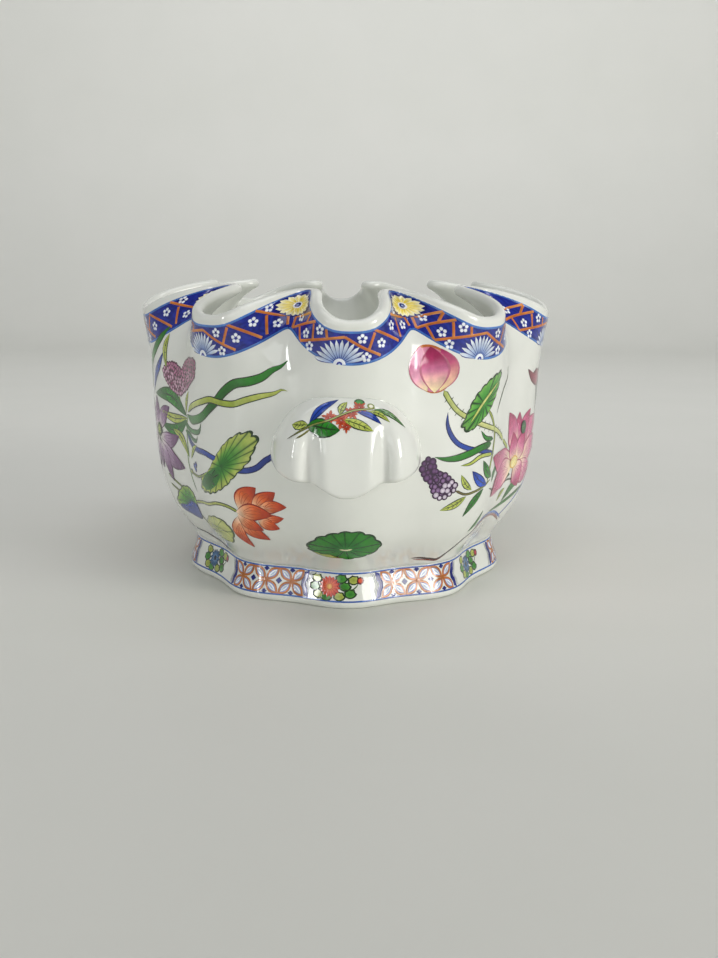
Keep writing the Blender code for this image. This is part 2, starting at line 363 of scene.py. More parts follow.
hem = [middle + np.stack([0 * half_lip, half_lip * np.cos(a),
                          -np.minimum(half_lip, HANDLE_WALL / 2) * np.sin(a)], -1)
       for a in np.linspace(0, np.pi, LIP_ROWS + 2)[1:-1]]
shell = np.concatenate([outside, np.stack(hem, 1), inside], axis=1)
rooted = wall_depth(shell[..., 0], shell[..., 2]) - HANDLE_SET_IN
shell[..., 1] = np.maximum(shell[..., 1], rooted)
shell = np.concatenate([shell, shell[:, :1]], axis=1)
ends = [np.repeat(shell[i, :-1].mean(0)[None, None], shell.shape[1], axis=1) for i in (0, -1)]
shell = np.concatenate([ends[0], shell, ends[1]])
for name, node, end in (("front_handle_glazed", "front_handle", -1),
                        ("back_handle_glazed", "back_handle", 1)):
    piece = press_clay(name, shell * [-end, end, 1.0])
    piece.data.materials.append(bowl_glaze)
    set_off(piece, "handle_glaze", node)


# ---------------------------------------------------------------- the waved blue border
# Painted below the white lip of every flute: a cobalt ground between two light blue lines, an iron-red
# lattice, white blossoms, a white half daisy low on each flute and a yellow daisy below each point.
# Enamel is laid with a brush over the fired glaze, so every stroke stands a hair above it.

FILM = 0.05                  # the first coat stands this far above the glaze
COAT = 0.022                 # and each coat over it this much more
FEATHER = 0.05               # a stroke's edge is brushed this much thinner than its middle
OUTLINE_WIDTH = 0.42
PAINT_LOW, PAINT_HIGH = 0.3, 0.1       # paint keeps this far off the foot's joint and the lip
LAID_HALF_WIDTH, LAID_HALF_LENGTH = 98.7, 144.5      # the oval on which the wall's patterns are laid out
ROUND_TURNS = np.linspace(-np.pi, np.pi, 2401)


def girth_table(half_width, half_length):
    """Length along an oval from the front end to each turn, for laying patterns out in millimetres."""
    speed = np.hypot(half_width * np.cos(ROUND_TURNS), half_length * np.sin(ROUND_TURNS))
    table = np.concatenate([[0], np.cumsum((speed[1:] + speed[:-1]) / 2 * np.diff(ROUND_TURNS))])
    return table - np.interp(0, ROUND_TURNS, table)


def angle_at(girth, table):
    """The angle on the plan at a length round an oval. Lengths past its back go on from the other side."""
    half = table[-1]
    return np.interp((girth + half) % (2 * half) - half, table, ROUND_TURNS)


def girth_at(angle, table):
    """The length round an oval at an angle on the plan, which may run past the half turn."""
    turned = (angle + np.pi) % (2 * np.pi) - np.pi
    girth = np.interp(turned, ROUND_TURNS, table)
    return np.where(angle - turned > np.pi, girth + 2 * table[-1], girth)


WALL_GIRTH = girth_table(LAID_HALF_WIDTH, LAID_HALF_LENGTH)
HALF_GIRTH = WALL_GIRTH[-1]


def on_wall(places):
    """Places on the wall, by girth from the front and height."""
    return wall_point(angle_at(places[..., 0], WALL_GIRTH), places[..., 1])


def trim_to_wall(places):
    highest = edge_height(angle_at(places[..., 0], WALL_GIRTH)) - PAINT_HIGH
    return np.stack([places[..., 0], np.clip(places[..., 1], seat + PAINT_LOW, highest)], -1)


def spans(surface, places):
    """How the surface runs along each of the two coordinates, for one unit of each."""
    step = 0.1
    return [(surface(places + way) - surface(places - way)) / (2 * step) for way in ([step, 0], [0, step])]


def clay_scale(surface, places):
    """Millimetres of surface for each unit of the two coordinates, at these places."""
    return np.maximum(np.linalg.norm(np.stack(spans(surface, places), -2), axis=-1), 0.05)


def wash(shades, along):
    """Colours blended through a list of shades, read at shares of its length."""
    stops = np.array([srgb(shade) for shade in shades])
    spread = np.linspace(0, 1, len(stops))
    return np.stack([np.interp(along, spread, stops[:, i]) for i in range(3)], -1)


class Painting:
    """Strokes of enamel on one surface, fired together as one piece."""

    def __init__(self, surface, trim, shift=0.0):
        self.surface, self.trim, self.shift = surface, trim, shift
        self.points, self.faces, self.colours = [], [], []
        self.count = 0

    def lay(self, places, colours, coat, ring=False):
        """A grid of enamel. A ring closes on itself, and its first row is the middle of the pool."""
        rows, columns = places.shape[:2]
        lift = np.full((rows, columns), FILM + COAT * coat)
        lift[-1] -= FEATHER
        if not ring:
            lift[0, 1:-1] -= FEATHER
            lift[:, [0, -1]] = FILM + COAT * coat - FEATHER
        places = self.trim(places + [self.shift, 0.0])
        points = self.surface(places)
        out = unit(np.cross(*spans(self.surface, places)))
        grid = self.count + np.arange(rows * columns).reshape(rows, columns)
        beside = np.roll(grid, -1, axis=1)
        if not ring:
            grid, beside = grid[:, :-1], beside[:, :-1]
        faces = np.stack([grid[:-1], grid[1:], beside[1:], beside[:-1]], -1).reshape(-1, 4)
        middle_row, middle_column = rows // 2, columns // 2
        here = points[middle_row, middle_column]
        side = np.cross(here - points[middle_row - 1, middle_column],
                        here - points[middle_row, middle_column - 1])
        if side @ out[middle_row, middle_column] < 0:
            faces = faces[:, ::-1]
        self.points.append((points + out * lift[..., None]).reshape(-1, 3))
        self.colours.append(np.broadcast_to(colours, points.shape).reshape(-1, 3))
        self.faces.append(faces)
        self.count += rows * columns

    def fire(self, name):
        """Make the piece from its strokes and set it off."""
        mesh = bpy.data.meshes.new(name)
        mesh.from_pydata((np.concatenate(self.points) * MM).tolist(), [], np.concatenate(self.faces).tolist())
        tint = np.ones((self.count, 4), np.float32)
        tint[:, :3] = np.concatenate(self.colours)
        mesh.color_attributes.new("enamel", "FLOAT_COLOR", "POINT").data.foreach_set("color", tint.ravel())
        piece = bpy.data.objects.new(name, mesh)
        bpy.context.scene.collection.objects.link(piece)
        bpy.context.view_layer.objects.active = piece
        piece.select_set(True)
        bpy.ops.object.mode_set(mode="EDIT")
        bpy.ops.mesh.select_all(action="SELECT")
        bpy.ops.mesh.remove_doubles(threshold=1e-7)
        bpy.ops.object.mode_set(mode="OBJECT")
        bpy.ops.object.shade_smooth()
        piece.select_set(False)
        mesh.materials.append(overglaze)
        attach(piece, "root")
        return piece


def place_at(painting, centre, drawn, turned=0.0, size=1.0):
    """Where a motif drawn in millimetres about its own middle falls when it is set at a place."""
    c, s = np.cos(turned), np.sin(turned)
    drawn = np.array(drawn, float) @ np.array([[c, s], [-s, c]]) * size
    return np.array(centre, float) + drawn / clay_scale(painting.surface, np.array(centre, float))


def brush_path(points, steps):
    """An even, smooth run through a few points."""
    points = np.array(points, float)
    reach = np.concatenate([[0], np.cumsum(np.linalg.norm(np.diff(points, axis=0), axis=1))])
    along = np.linspace(0, reach[-1], steps)
    return np.stack([smooth_curve(along, np.stack([reach, points[:, i]], -1)) for i in (0, 1)], -1)


def stroke(painting, path, width, shades, edge=None, vein=None, ends=(0.08, 0.2), coat=1, steps=None):
    """One pull of the brush: it swells from a thin start, keeps its width and thins out to its end.
    Shades run along it, edge is the thin dark outline, and vein is a line down its middle."""
    rough = np.array(path, float)
    scale = clay_scale(painting.surface, rough)
    length = (np.linalg.norm(np.diff(rough, axis=0), axis=1) * scale[:-1].mean(1)).sum()
    line = brush_path(rough, steps or int(np.clip(length / 1.6, 6, 60)))
    along = np.linspace(0, 1, len(line))
    swell = np.ones_like(along)
    if ends[0]:
        swell *= np.sin(np.pi / 2 * np.clip(along / ends[0], 0, 1)) ** 0.8
    if ends[1]:
        swell *= np.sin(np.pi / 2 * np.clip((1 - along) / ends[1], 0, 1)) ** 0.8
    half = width / 2 * np.maximum(swell, 0.03)
    scale = clay_scale(painting.surface, line)
    run = np.gradient(line, axis=0) * scale
    run /= np.maximum(np.linalg.norm(run, axis=-1, keepdims=True), 1e-9)
    left = np.stack([-run[:, 1], run[:, 0]], -1) / scale
    rim = float(np.clip(2 * OUTLINE_WIDTH / width, 0.12, 0.5)) if edge else 0.3
    inner = 1 - rim
    columns = [-1, -inner, -inner + 0.08, -0.5 * inner, 0, 0.5 * inner, inner - 0.08, inner, 1]
    if vein:
        columns[4:5] = [-0.16, -0.05, 0.05, 0.16]
    if width < 2.0 and not vein:
        columns = [-1, -inner, 0, inner, 1] if not edge else [-1, -inner, -inner + 0.1, inner - 0.1, inner, 1]
    columns = np.array(columns)
    places = line[:, None] + columns[None, :, None] * half[:, None, None] * left[:, None]
    colours = np.repeat(wash(shades, along)[:, None], len(columns), axis=1)
    # painted side light: across each stroke one side is painted lighter and the other darker
    colours = colours * (1 + 0.16 * columns)[None, :, None]
    if edge:
        colours[:, np.abs(columns) >= inner - 1e-6] = srgb(edge)
    if vein:
        colours[:, np.abs(columns) < 0.06] = srgb(vein)
    painting.lay(places, np.clip(colours, 0, 1), coat)


def pool(painting, outline, shades, edge=None, coat=1, middle=None, rays=0, ray_shade=None, cells=None):
    """A pool of enamel filled in to a closed outline, its shades running from the middle to the edge.
    Rays are thin darker lines from the middle, and an edge is a thin dark outline."""
    outline = np.array(outline, float)
    middle = outline.mean(0) if middle is None else np.array(middle, float)
    scale = clay_scale(painting.surface, middle[None])[0]
    reach = np.linalg.norm((outline - middle) * scale, axis=1).mean()
    cells = cells or max(3, int(reach / 1.6))
    shares = np.linspace(0, 1, cells)
    if edge:
        rim = 1 - min(OUTLINE_WIDTH * 1.6 / reach, 0.4)
        shares = np.concatenate([np.linspace(0, rim - 0.03, cells), [rim, 1.0]])
    places = middle + shares[:, None, None] * (outline - middle)[None]
    colours = np.repeat(wash(shades, shares)[:, None], len(outline), axis=1)
    if rays:
        turned = np.arange(len(outline)) * rays / len(outline) % 1.0
        line = np.abs(turned - 0.5) < 0.5 * rays / len(outline)
        dark = (line[None, :] & (shares[:, None] > 0.12) & (shares[:, None] < 0.93))[..., None]
        colours = np.where(dark, srgb(ray_shade), colours)
    if edge:
        colours[-2:] = srgb(edge)
    painting.lay(places, colours, coat, ring=True)


def round_line(radius_x, radius_y, count, start=0.0, span=2 * np.pi):
    """Places round an oval, evenly spaced, without repeating the first."""
    turned = start + span * np.arange(count) / count
    return np.stack([radius_x * np.cos(turned), radius_y * np.sin(turned)], -1)


def dot(painting, centre, radius, shades, coat, count=8, edge=None, squash=1.0):
    drawn = place_at(painting, centre, round_line(radius, radius * squash, count))
    pool(painting, drawn, shades, edge=edge, coat=coat, middle=centre, cells=3)


def petal(painting, base, tip, width, shades, edge, coat, bow=0.0, ends=(0.45, 0.6), streaks=0,
          streak_shade=None):
    """A petal from base to tip, its middle bowed sideways, with fine streaks drawn up from the base."""
    base, tip = np.array(base, float), np.array(tip, float)
    across = np.array([-(tip - base)[1], (tip - base)[0]])
    path = [base, (base + tip) / 2 + bow * across, tip]
    stroke(painting, path, width, shades, edge=edge, ends=ends, coat=coat, steps=16 if width > 6 else None)
    for i in range(streaks):
        share = (i + 1) / (streaks + 1) - 0.5
        away = width * share * across / max(np.linalg.norm(across), 1e-9)
        path = [base + 0.15 * (tip - base), (base + tip) / 2 + bow * across + 0.9 * away,
                base + 0.86 * (tip - base)]
        stroke(painting, path, 0.34, [streak_shade], ends=(0.4, 0.6), coat=coat + 1)


def leaf(painting, base, tip, width, shades, edge="#1d3a18", vein="#1d3a18", bow=0.1, side_veins=4, coat=2):
    """A pointed leaf with a midrib and pairs of side veins."""
    base, tip = np.array(base, float), np.array(tip, float)
    across = np.array([-(tip - base)[1], (tip - base)[0]])
    path = np.array([base, (base + tip) / 2 + bow * across, tip])
    stroke(painting, path, width, shades, edge=edge, vein=vein, ends=(0.5, 0.6), coat=coat)
    rib = brush_path(path, side_veins + 3)
    side = across / max(np.linalg.norm(across), 1e-9)
    for i in range(1, side_veins + 1):
        for way in (-1, 1):
            reach = 0.36 * width * np.sin(np.pi * i / (side_veins + 1))
            end = rib[i] + (tip - base) * 0.11 + way * reach * side
            stroke(painting, [rib[i], end], 0.32, [edge], ends=(0, 0.5), coat=coat + 1, steps=4)


def blossom(painting, centre, coat=4, size=1.0):
    """Five white dots round a dark middle."""
    for i in range(5):
        spot = place_at(painting, centre, [[0, 1.42]], turned=2 * np.pi * i / 5, size=size)[0]
        dot(painting, spot, 0.82 * size, ["#ffffff", "#f2f5fb", "#dfe6f4"], coat)


def overglaze_enamel(name):
    """Low-fired overglaze enamel: glassy like the glaze under it, a little softer in its gloss, with the
    brush's own thick and thin in every colour. Each stroke's colour is in the piece's enamel attribute."""
    material = bpy.data.materials.new(name)
    material.use_nodes = True
    surface = material.node_tree.nodes["Principled BSDF"]
    set_inputs(material, surface,
               {"Roughness": 0.13, "IOR": 1.55, "Coat Weight": 0.3, "Coat Roughness": 0.05})
    paint = add_node(material, "ShaderNodeAttribute", attribute_name="enamel")
    place = add_node(material, "ShaderNodeTexCoord")
    thick = add_node(material, "ShaderNodeTexNoise", {"Scale": 1 / (3.2 * MM), "Detail": 3.0},
                     {"Vector": (place, "Object")})
    shade = add_node(material, "ShaderNodeMapRange", {"From Min": 0.3, "From Max": 0.7, "To Min": 0.80,
                                                      "To Max": 1.14}, {"Value": (thick, "Fac")})
    colour = add_node(material, "ShaderNodeMix", {0: 1.0}, {6: (paint, "Color"), 7: (shade, "Result")},
                      data_type="RGBA", blend_type="MULTIPLY")
    relief = add_node(material, "ShaderNodeBump", {"Strength": 0.25, "Distance": 0.04 * MM},
                      {"Height": (thick, "Fac")})
    set_inputs(material, surface, links={"Base Color": (colour, 2), "Normal": (relief, "Normal")})
    return material


overglaze = overglaze_enamel("famille_rose_overglaze_enamel")
COBALT = ["#1a2894", "#131d74", "#2034a4"]
LIGHT_BLUE = "#3a68b4"
IRON_RED = ["#cf7a35", "#c26a28", "#d48945"]
BORDER_LOW, BORDER_LOW_RISE, BORDER_LOW_BEND = 114.9, 16.0, 1.95
BORDER_HIGH, BORDER_HIGH_RISE, BORDER_HIGH_BEND = 129.0, 15.6, 3.1
BORDER_ROUNDING = 0.08       # how softly the lower edge turns at each crease
FAN_PLACE, DAISY_PLACE = (-0.15, 0.0), (1.0, 0.60)
FAN_PETALS, DAISY_PETALS = 12, 16
# The lattice lines and the blossoms: across a flute from crease to crease, and up the border
LATTICE = [
    [(0.57, 0.97), (0.72, 0.66), (0.86, 0.45), (1.0, 0.38), (1.13, 0.43), (1.27, 0.66), (1.42, 0.97)],
    [(-0.93, 0.36), (-0.93, 0.09)], [(-0.93, 0.09), (-0.72, 0.46), (-0.48, 0.92)],
    [(-0.58, 0.95), (-0.65, 0.61)], [(-0.79, 0.30), (-0.74, 0.04)],
    [(-0.74, 0.04), (-0.39, 0.56), (-0.08, 0.83)], [(-0.51, 0.81), (-0.52, 0.39)],
    [(-0.32, 0.93), (-0.31, 0.70)], [(-0.08, 0.83), (0.12, 0.55), (0.39, 0.12)],
    [(0.30, 0.87), (0.23, 0.42)], [(0.30, 0.95), (0.47, 0.60), (0.69, 0.13)],
    [(0.68, 0.68), (0.74, 0.15)], [(0.93, 0.37), (0.97, 0.12)],
]
BLOSSOMS = [(-0.80, 0.50), (-0.64, 0.36), (-0.41, 0.80), (-0.57, 0.14), (0.14, 0.77),
            (0.40, 0.46), (0.20, 0.20), (0.57, 0.68), (0.83, 0.30), (0.68, 0.86)]


def border_place(flute, across, up):
    """Across a flute from crease to crease is -1 to 1, and up the border is 0 to 1."""
    across, up = np.broadcast_arrays(np.array(across, float), np.array(up, float))
    angle = FLUTE_ANGLE * (flute + across / 2)
    crease = 1 - np.hypot(np.abs(across) - 1, BORDER_ROUNDING)
    lower = BORDER_LOW + BORDER_LOW_RISE * np.abs(crease) ** BORDER_LOW_BEND - end_dip(angle)
    upper = BORDER_HIGH + BORDER_HIGH_RISE * valley(angle, BORDER_HIGH_BEND) - end_dip(angle)
    return np.stack([girth_at(angle, WALL_GIRTH), lower + up * (upper - lower)], -1)


def half_daisy(painting, centre):
    """A white half daisy with a blue heart, standing on the border's lower line."""
    for turned in np.linspace(-1.3, 1.3, FAN_PETALS):
        reach = 10.4 + 0.8 * abs(turned)
        base, tip = place_at(painting, centre, [[0, 2.2], [0, reach]], turned=turned)
        petal(painting, base, tip, 2.6, ["#5f82c4", "#b9c8e0", "#eef1f2"], "#16257e", 3, ends=(0.9, 0.35))
    for radius, shade, coat in ((2.6, "#eef3fa", 5), (1.8, COBALT[0], 6), (0.7, "#b9d2f0", 7)):
        half_moon = place_at(painting, centre, round_line(radius, radius, 13, span=np.pi * 13 / 12))
        pool(painting, half_moon, [shade], coat=coat, middle=centre, cells=3)


def yellow_daisy(painting, centre):
    """A yellow daisy on its own round of cobalt."""
    pool(painting, place_at(painting, centre, round_line(7.4, 7.4, 36)), COBALT[:2], coat=7, middle=centre,
         cells=10)
    for i in range(DAISY_PETALS):
        base, tip = place_at(painting, centre, [[0, 1.4], [0, 7.0]], turned=2 * np.pi * i / DAISY_PETALS)
        petal(painting, base, tip, 2.6, ["#e6c828", "#ecd544", "#fbf6d4"], "#f7f1c8", 10, ends=(0.7, 0.25))
    for radius, shade, coat in ((2.1, "#f4f6fa", 12), (1.5, COBALT[1], 14), (0.6, "#8fa8d8", 16)):
        dot(painting, centre, radius, [shade], coat, count=16)


uneven = np.random.default_rng(7)
for flute in range(FLUTES):
    border = Painting(on_wall, trim_to_wall)
    across, up = np.meshgrid(np.sin(np.linspace(-np.pi / 2, np.pi / 2, 91)), np.linspace(0.0, 1.0, 19))
    ground = wash(COBALT, uneven.uniform(0, 1, across.shape))
    border.lay(border_place(flute, across, up), ground, 0)
    for level in (0.035, 0.965):
        line = border_place(flute, np.linspace(-1.0, 1.0, 41), level)
        stroke(border, line, 1.1, [LIGHT_BLUE, "#4b7cc6", LIGHT_BLUE], ends=(0, 0), coat=1, steps=72)
    for points in LATTICE:
        points = np.array(points)
        line = border_place(flute, points[:, 0], points[:, 1])
        stroke(border, line, 1.2, IRON_RED, ends=(0, 0), coat=3)
    for across, up in BLOSSOMS:
        blossom(border, border_place(flute, across, up))
    half_daisy(border, border_place(flute, *FAN_PLACE))
    yellow_daisy(border, border_place(flute, *DAISY_PLACE))
    border.fire("painted_border_%02d" % (flute + 1))


# ---------------------------------------------------------------- the painted foot
# Between two thin blue lines the foot carries twelve panels: flower cartouches on a white ground,
# framed by thick blue brackets, and between them panels of interlaced iron-red rings.

FOOT_GIRTH = girth_table(WAIST_HALF_WIDTH + 2, WAIST_HALF_LENGTH + 2)
LINE_LOW, LINE_HIGH = 3.6, 15.6
RING_RED = "#b5682c"
NAVY = ["#16207e", "#101c70"]
# What each panel shows, and the angles from the front between which it runs
PANELS = [("flowers", -15.5, 11.5), ("rings", 11.5, 38), ("flowers", 38, 67), ("rings", 67, 111),
          ("flowers", 111, 139), ("rings", 139, 164.5)]


def on_foot(places):
    """Places on the foot, by girth from the front and height."""
    return foot_face(angle_at(places[..., 0], FOOT_GIRTH), places[..., 1])


def trim_to_foot(places):
    return np.stack([places[..., 0], np.clip(places[..., 1], band_bottom, FOOT_HEIGHT)], -1)


def foot_place(angle_degrees, height):
    girth = girth_at(np.radians(angle_degrees), FOOT_GIRTH)
    return np.stack([girth, height + 0 * girth], -1)


def ring_panel(painting, start, end):
    """Four-petalled flowers side by side, which read as overlapping rings, with blue diamonds between."""
    left, right = foot_place(start, 0.0)[0], foot_place(end, 0.0)[0]
    flowers = int(round((right - left) / 11.7))
    pitch = (right - left) / flowers
    level = (LINE_LOW + LINE_HIGH) / 2
    rise = (LINE_HIGH - LINE_LOW) / 2 - 0.2
    for i in range(flowers):
        centre = np.array([left + pitch * (i + 0.5), level])
        for way_x in (-1, 1):
            for way_z in (-1, 1):
                base, tip = centre, centre + [way_x * pitch / 2, way_z * rise]
                petal(painting, base, tip, 5.0, [RING_RED, "#c47c40", RING_RED], RING_RED, 1, ends=(0.5, 0.5))
                for width, inset, shades, coat in ((2.9, 0.17, ["#6f8fd0"], 3),
                                                   (2.3, 0.20, ["#e9ecef", "#f2f2ee", "#e9ecef"], 4),
                                                   (0.7, 0.30, ["#9db8e0", "#b3c8e8"], 6)):
                    inner = [base + (tip - base) * inset, tip - (tip - base) * inset]
                    stroke(painting, inner, width, shades, ends=(0.5, 0.5), coat=coat)
        dot(painting, centre, 0.9, [RING_RED], 5)
        for height in (LINE_LOW + 1.1, LINE_HIGH - 1.1):
            diamond = place_at(painting, [centre[0], height], round_line(1.5, 1.2, 4))
            pool(painting, diamond, NAVY, coat=3, cells=3)
    for i in range(1, flowers):
        diamond = place_at(painting, [left + pitch * i, level], round_line(1.6, 1.6, 4))
        pool(painting, diamond, NAVY, coat=3, cells=3)


def flower_panel(painting, start, end, kind):
    """A little spray on white between two bracket-shaped frames."""
    left, right = foot_place(start, 0.0)[0], foot_place(end, 0.0)[0]
    level = (LINE_LOW + LINE_HIGH) / 2
    for side, way in ((left, 1), (right, -1)):
        bracket = [(2.9, LINE_HIGH - 0.2), (1.3, LINE_HIGH - 1.9), (0.9, level + 2.0), (-0.5, level),
                   (0.9, level - 2.0), (1.3, LINE_LOW + 1.9), (2.9, LINE_LOW + 0.2)]
        stroke(painting, [(side + way * x, z) for x, z in bracket], 2.4, ["#17238a", "#101a6c", "#17238a"],
               ends=(0.04, 0.04), coat=4)
        stroke(painting, [(side + way * (x + 1.9), z) for x, z in bracket], 0.35, ["#8d93a0"],
               ends=(0.1, 0.1), coat=3)
        stroke(painting, [(side + way * (x + 2.7), z) for x, z in bracket], 0.3, ["#a9adb5"],
               ends=(0.1, 0.1), coat=3)
    red = kind == "red"
    heart = np.array([(left + right) / 2 + (-5.5 if red else -4.5), level + 0.2])
    greens = ["#2f7a2a", "#3f8a2e", "#5d9a3c"]
    limes = ["#8d9c38", "#a9b24e", "#b9c060"]
    spots = [(-5.4, 3.0, limes), (-6.2, -0.4, greens), (-4.6, -3.4, limes), (-1.4, -4.2, greens),
             (4.6, 3.4, greens), (6.0, 0.2, greens), (8.0, -2.8, greens), (3.8, -3.8, limes),
             (9.4, 2.8, limes)]
    for x, z, shades in spots:
        centre = place_at(painting, heart, [[1.2 * x, 1.12 * z]])[0]
        wave = 1 + 0.12 * np.cos(3 * np.arange(14))
        outline = place_at(painting, centre, round_line(2.9, 2.2, 14) * wave[:, None])
        pool(painting, outline, shades, edge="#183a16", coat=2, middle=centre)
    stem = place_at(painting, heart, [[4.0, 0.5], [8.0, -1.2], [11.5, -0.8], [13.6, 1.8]])
    stroke(painting, stem, 0.6, ["#3a5a24"], coat=3)
    petals = 15 if red else 12
    reach = 5.0 if red else 4.6
    for i in range(petals):
        base, tip = place_at(painting, heart, [[0, 0.8], [0, reach]], turned=2 * np.pi * i / petals)
        shades = ["#e8823c", "#d9482a", "#c8381c"] if red else ["#88a8c8", "#3b6b9c", "#2e5a7c"]
        petal(painting, base, tip, 2.0, shades, "#b3240c" if red else "#1e3c5c", 4, ends=(0.7, 0.4))
    dot(painting, heart, 1.25, ["#ffd27a", "#f2a23c"] if red else ["#2a3c50", "#1c2c40"], 7)
    bud = place_at(painting, heart, [[14.4, 2.8]])[0]
    dot(painting, bud, 1.8, ["#c04a5a", "#8c2030"] if not red else ["#e2603a", "#c33c20"], 5, edge="#5a1420")


for quarter, (first_panel, last_panel) in enumerate(((0, 3), (3, 6), (0, 3), (3, 6))):
    painted = Painting(on_foot, trim_to_foot)
    half_turn = 180 * (quarter // 2)
    panels = PANELS[first_panel:last_panel]
    from_angle, to_angle = panels[0][1] + half_turn, panels[-1][2] + half_turn
    for level in (LINE_LOW, LINE_HIGH):
        line = foot_place(np.linspace(from_angle, to_angle, 90), level)
        stroke(painted, line, 0.75, ["#2f5fb4", "#264f9f", "#3a6dbe"], ends=(0, 0), coat=1, steps=120)
    for kind, start, end in panels:
        if kind == "rings":
            ring_panel(painted, start + half_turn, end + half_turn)
        else:
            flower_panel(painted, start + half_turn, end + half_turn,
                         "red" if start == PANELS[0][1] else "blue")
    painted.fire("painted_foot_%d" % (quarter + 1))


# ---------------------------------------------------------------- the painted sprays
# Water plants in famille rose enamels, drawn with a fine dark outline and filled with thin colour:
# a coral and a mauve lotus on the left of each end, a pink one on the right, and grasses between them.
# The same sprays are painted again at the other end, turned half round.

GREEN = ["#1f6a1c", "#2b8523", "#1c5f1c"]
LIME = ["#98ab3c", "#c0ca66", "#a9b84a"]
BLUE = ["#16307e", "#2448a6", "#182f80"]
INK = "#26361c"
STEM_INK = "#4a5a2a"
BLUE_INK = "#0f1d58"
CORAL = ["#f8e0c6", "#efa878", "#dd6424", "#c23c08", "#a32c04"]
ROSE = ["#f4ebb0", "#f2c8bc", "#d8709c", "#b8386c", "#9c2454"]
MAUVE = ["#e4dcd6", "#b79bb8", "#7c527e", "#5a3460"]
LEAF_GREEN = ["#1d5c1e", "#2f8426", "#5da03a", "#a5ba52"]


def fire_twice(name, draw):
    """Paint one motif, and again turned half round."""
    for end, shift in (("a", 0.0), ("b", HALF_GIRTH)):
        painting = Painting(on_wall, trim_to_wall, shift)
        draw(painting)
        painting.fire("painted_%s_%s" % (name, end))


def inside(outline, spots):
    """Which spots lie inside a closed outline."""
    x, y = spots[:, 0], spots[:, 1]
    hit = np.zeros(len(spots), bool)
    for (x0, y0), (x1, y1) in zip(outline, np.roll(outline, -1, axis=0)):
        crosses = (y0 > y) != (y1 > y)
        hit ^= crosses & (x < x0 + (y - y0) * (x1 - x0) / (y1 - y0 + 1e-12))
    return hit


def closed_line(points, count):
    """A smooth closed outline through a few points."""
    points = np.array(points, float)
    wrapped = np.concatenate([points[-2:], points, points[:3]])
    reach = np.concatenate([[0], np.cumsum(np.linalg.norm(np.diff(wrapped, axis=0), axis=1))])
    along = np.linspace(reach[2], reach[-3], count, endpoint=False)
    return np.stack([smooth_curve(along, np.stack([reach, wrapped[:, i]], -1)) for i in (0, 1)], -1)


def lotus_leaf(painting, outline, heart, shades, coat, scallops=13, edge="#1b3c16", ray_shade="#1a4a18"):
    """A round lotus leaf with a scalloped margin and veins fanning out from where its stem joins."""
    line = closed_line(outline, 112)
    heart = np.array(heart, float)
    wave = 1 + 0.09 * np.abs(np.sin(np.pi * scallops * np.arange(112) / 112)) ** 0.7
    line = heart + (line - heart) * wave[:, None]
    pool(painting, line, shades, edge=edge, coat=coat, middle=heart, rays=scallops, ray_shade=ray_shade,
         cells=8)


def berries(painting, outline, size, shade_sets, towards, coat, edge, ground):
    """Berries crowded into an outline over a wash, one ring along it and the rest within, changing colour
    one way."""
    line = closed_line(outline, 400)
    heart = line.mean(0)
    pool(painting, line[::8] * 0.94 + heart * 0.06, [ground, ground], coat=1, middle=heart)
    scale = clay_scale(painting.surface, heart)
    reach = np.linalg.norm((line - heart) * scale, axis=1, keepdims=True)
    rim = heart + (line - heart) * (1 - size / reach)
    run = np.concatenate([[0], np.cumsum(np.linalg.norm(np.diff(rim, axis=0) * scale, axis=1))])
    count = int(run[-1] / (1.55 * size))
    spots = [rim[np.searchsorted(run, run[-1] * i / count)] for i in range(count)]
    within = heart + (line - heart) * np.maximum(1 - 2.2 * size / reach, 0.0)
    step = 1.55 * size / scale
    low, high = within.min(0), within.max(0)
    for row, z in enumerate(np.arange(low[1], high[1], step[1] * 0.87)):
        spots += [(x + 0.5 * step[0] * (row % 2), z) for x in np.arange(low[0], high[0], step[0])]
    spots = np.array(spots)
    spots[count:] += uneven.uniform(-0.3, 0.3, (len(spots) - count, 2)) * step
    spots = np.concatenate([spots[:count], spots[count:][inside(within, spots[count:])]])
    share = (spots - spots.min(0)) / np.ptp(spots, axis=0) @ np.array(towards, float)
    share = (share - share.min()) / np.ptp(share)
    for i in np.argsort(share):
        shades = shade_sets[min(int(share[i] * len(shade_sets)), len(shade_sets) - 1)]
        berry = size * (0.85 + 0.4 * uneven.random())
        dot(painting, spots[i], berry, shades, coat + 0.5 * (i % 5), count=12, edge=edge)


def lotus_flower(painting, petals, shades, edge, streak_shade):
    """A lotus from its petals, back ones first: base, tip, width and bow of each."""
    for i, (base, tip, width, bow) in enumerate(petals):
        petal(painting, base, tip, 0.86 * width, shades, edge, 2 + i, bow=bow, ends=(0.5, 0.72), streaks=4,
              streak_shade=streak_shade)


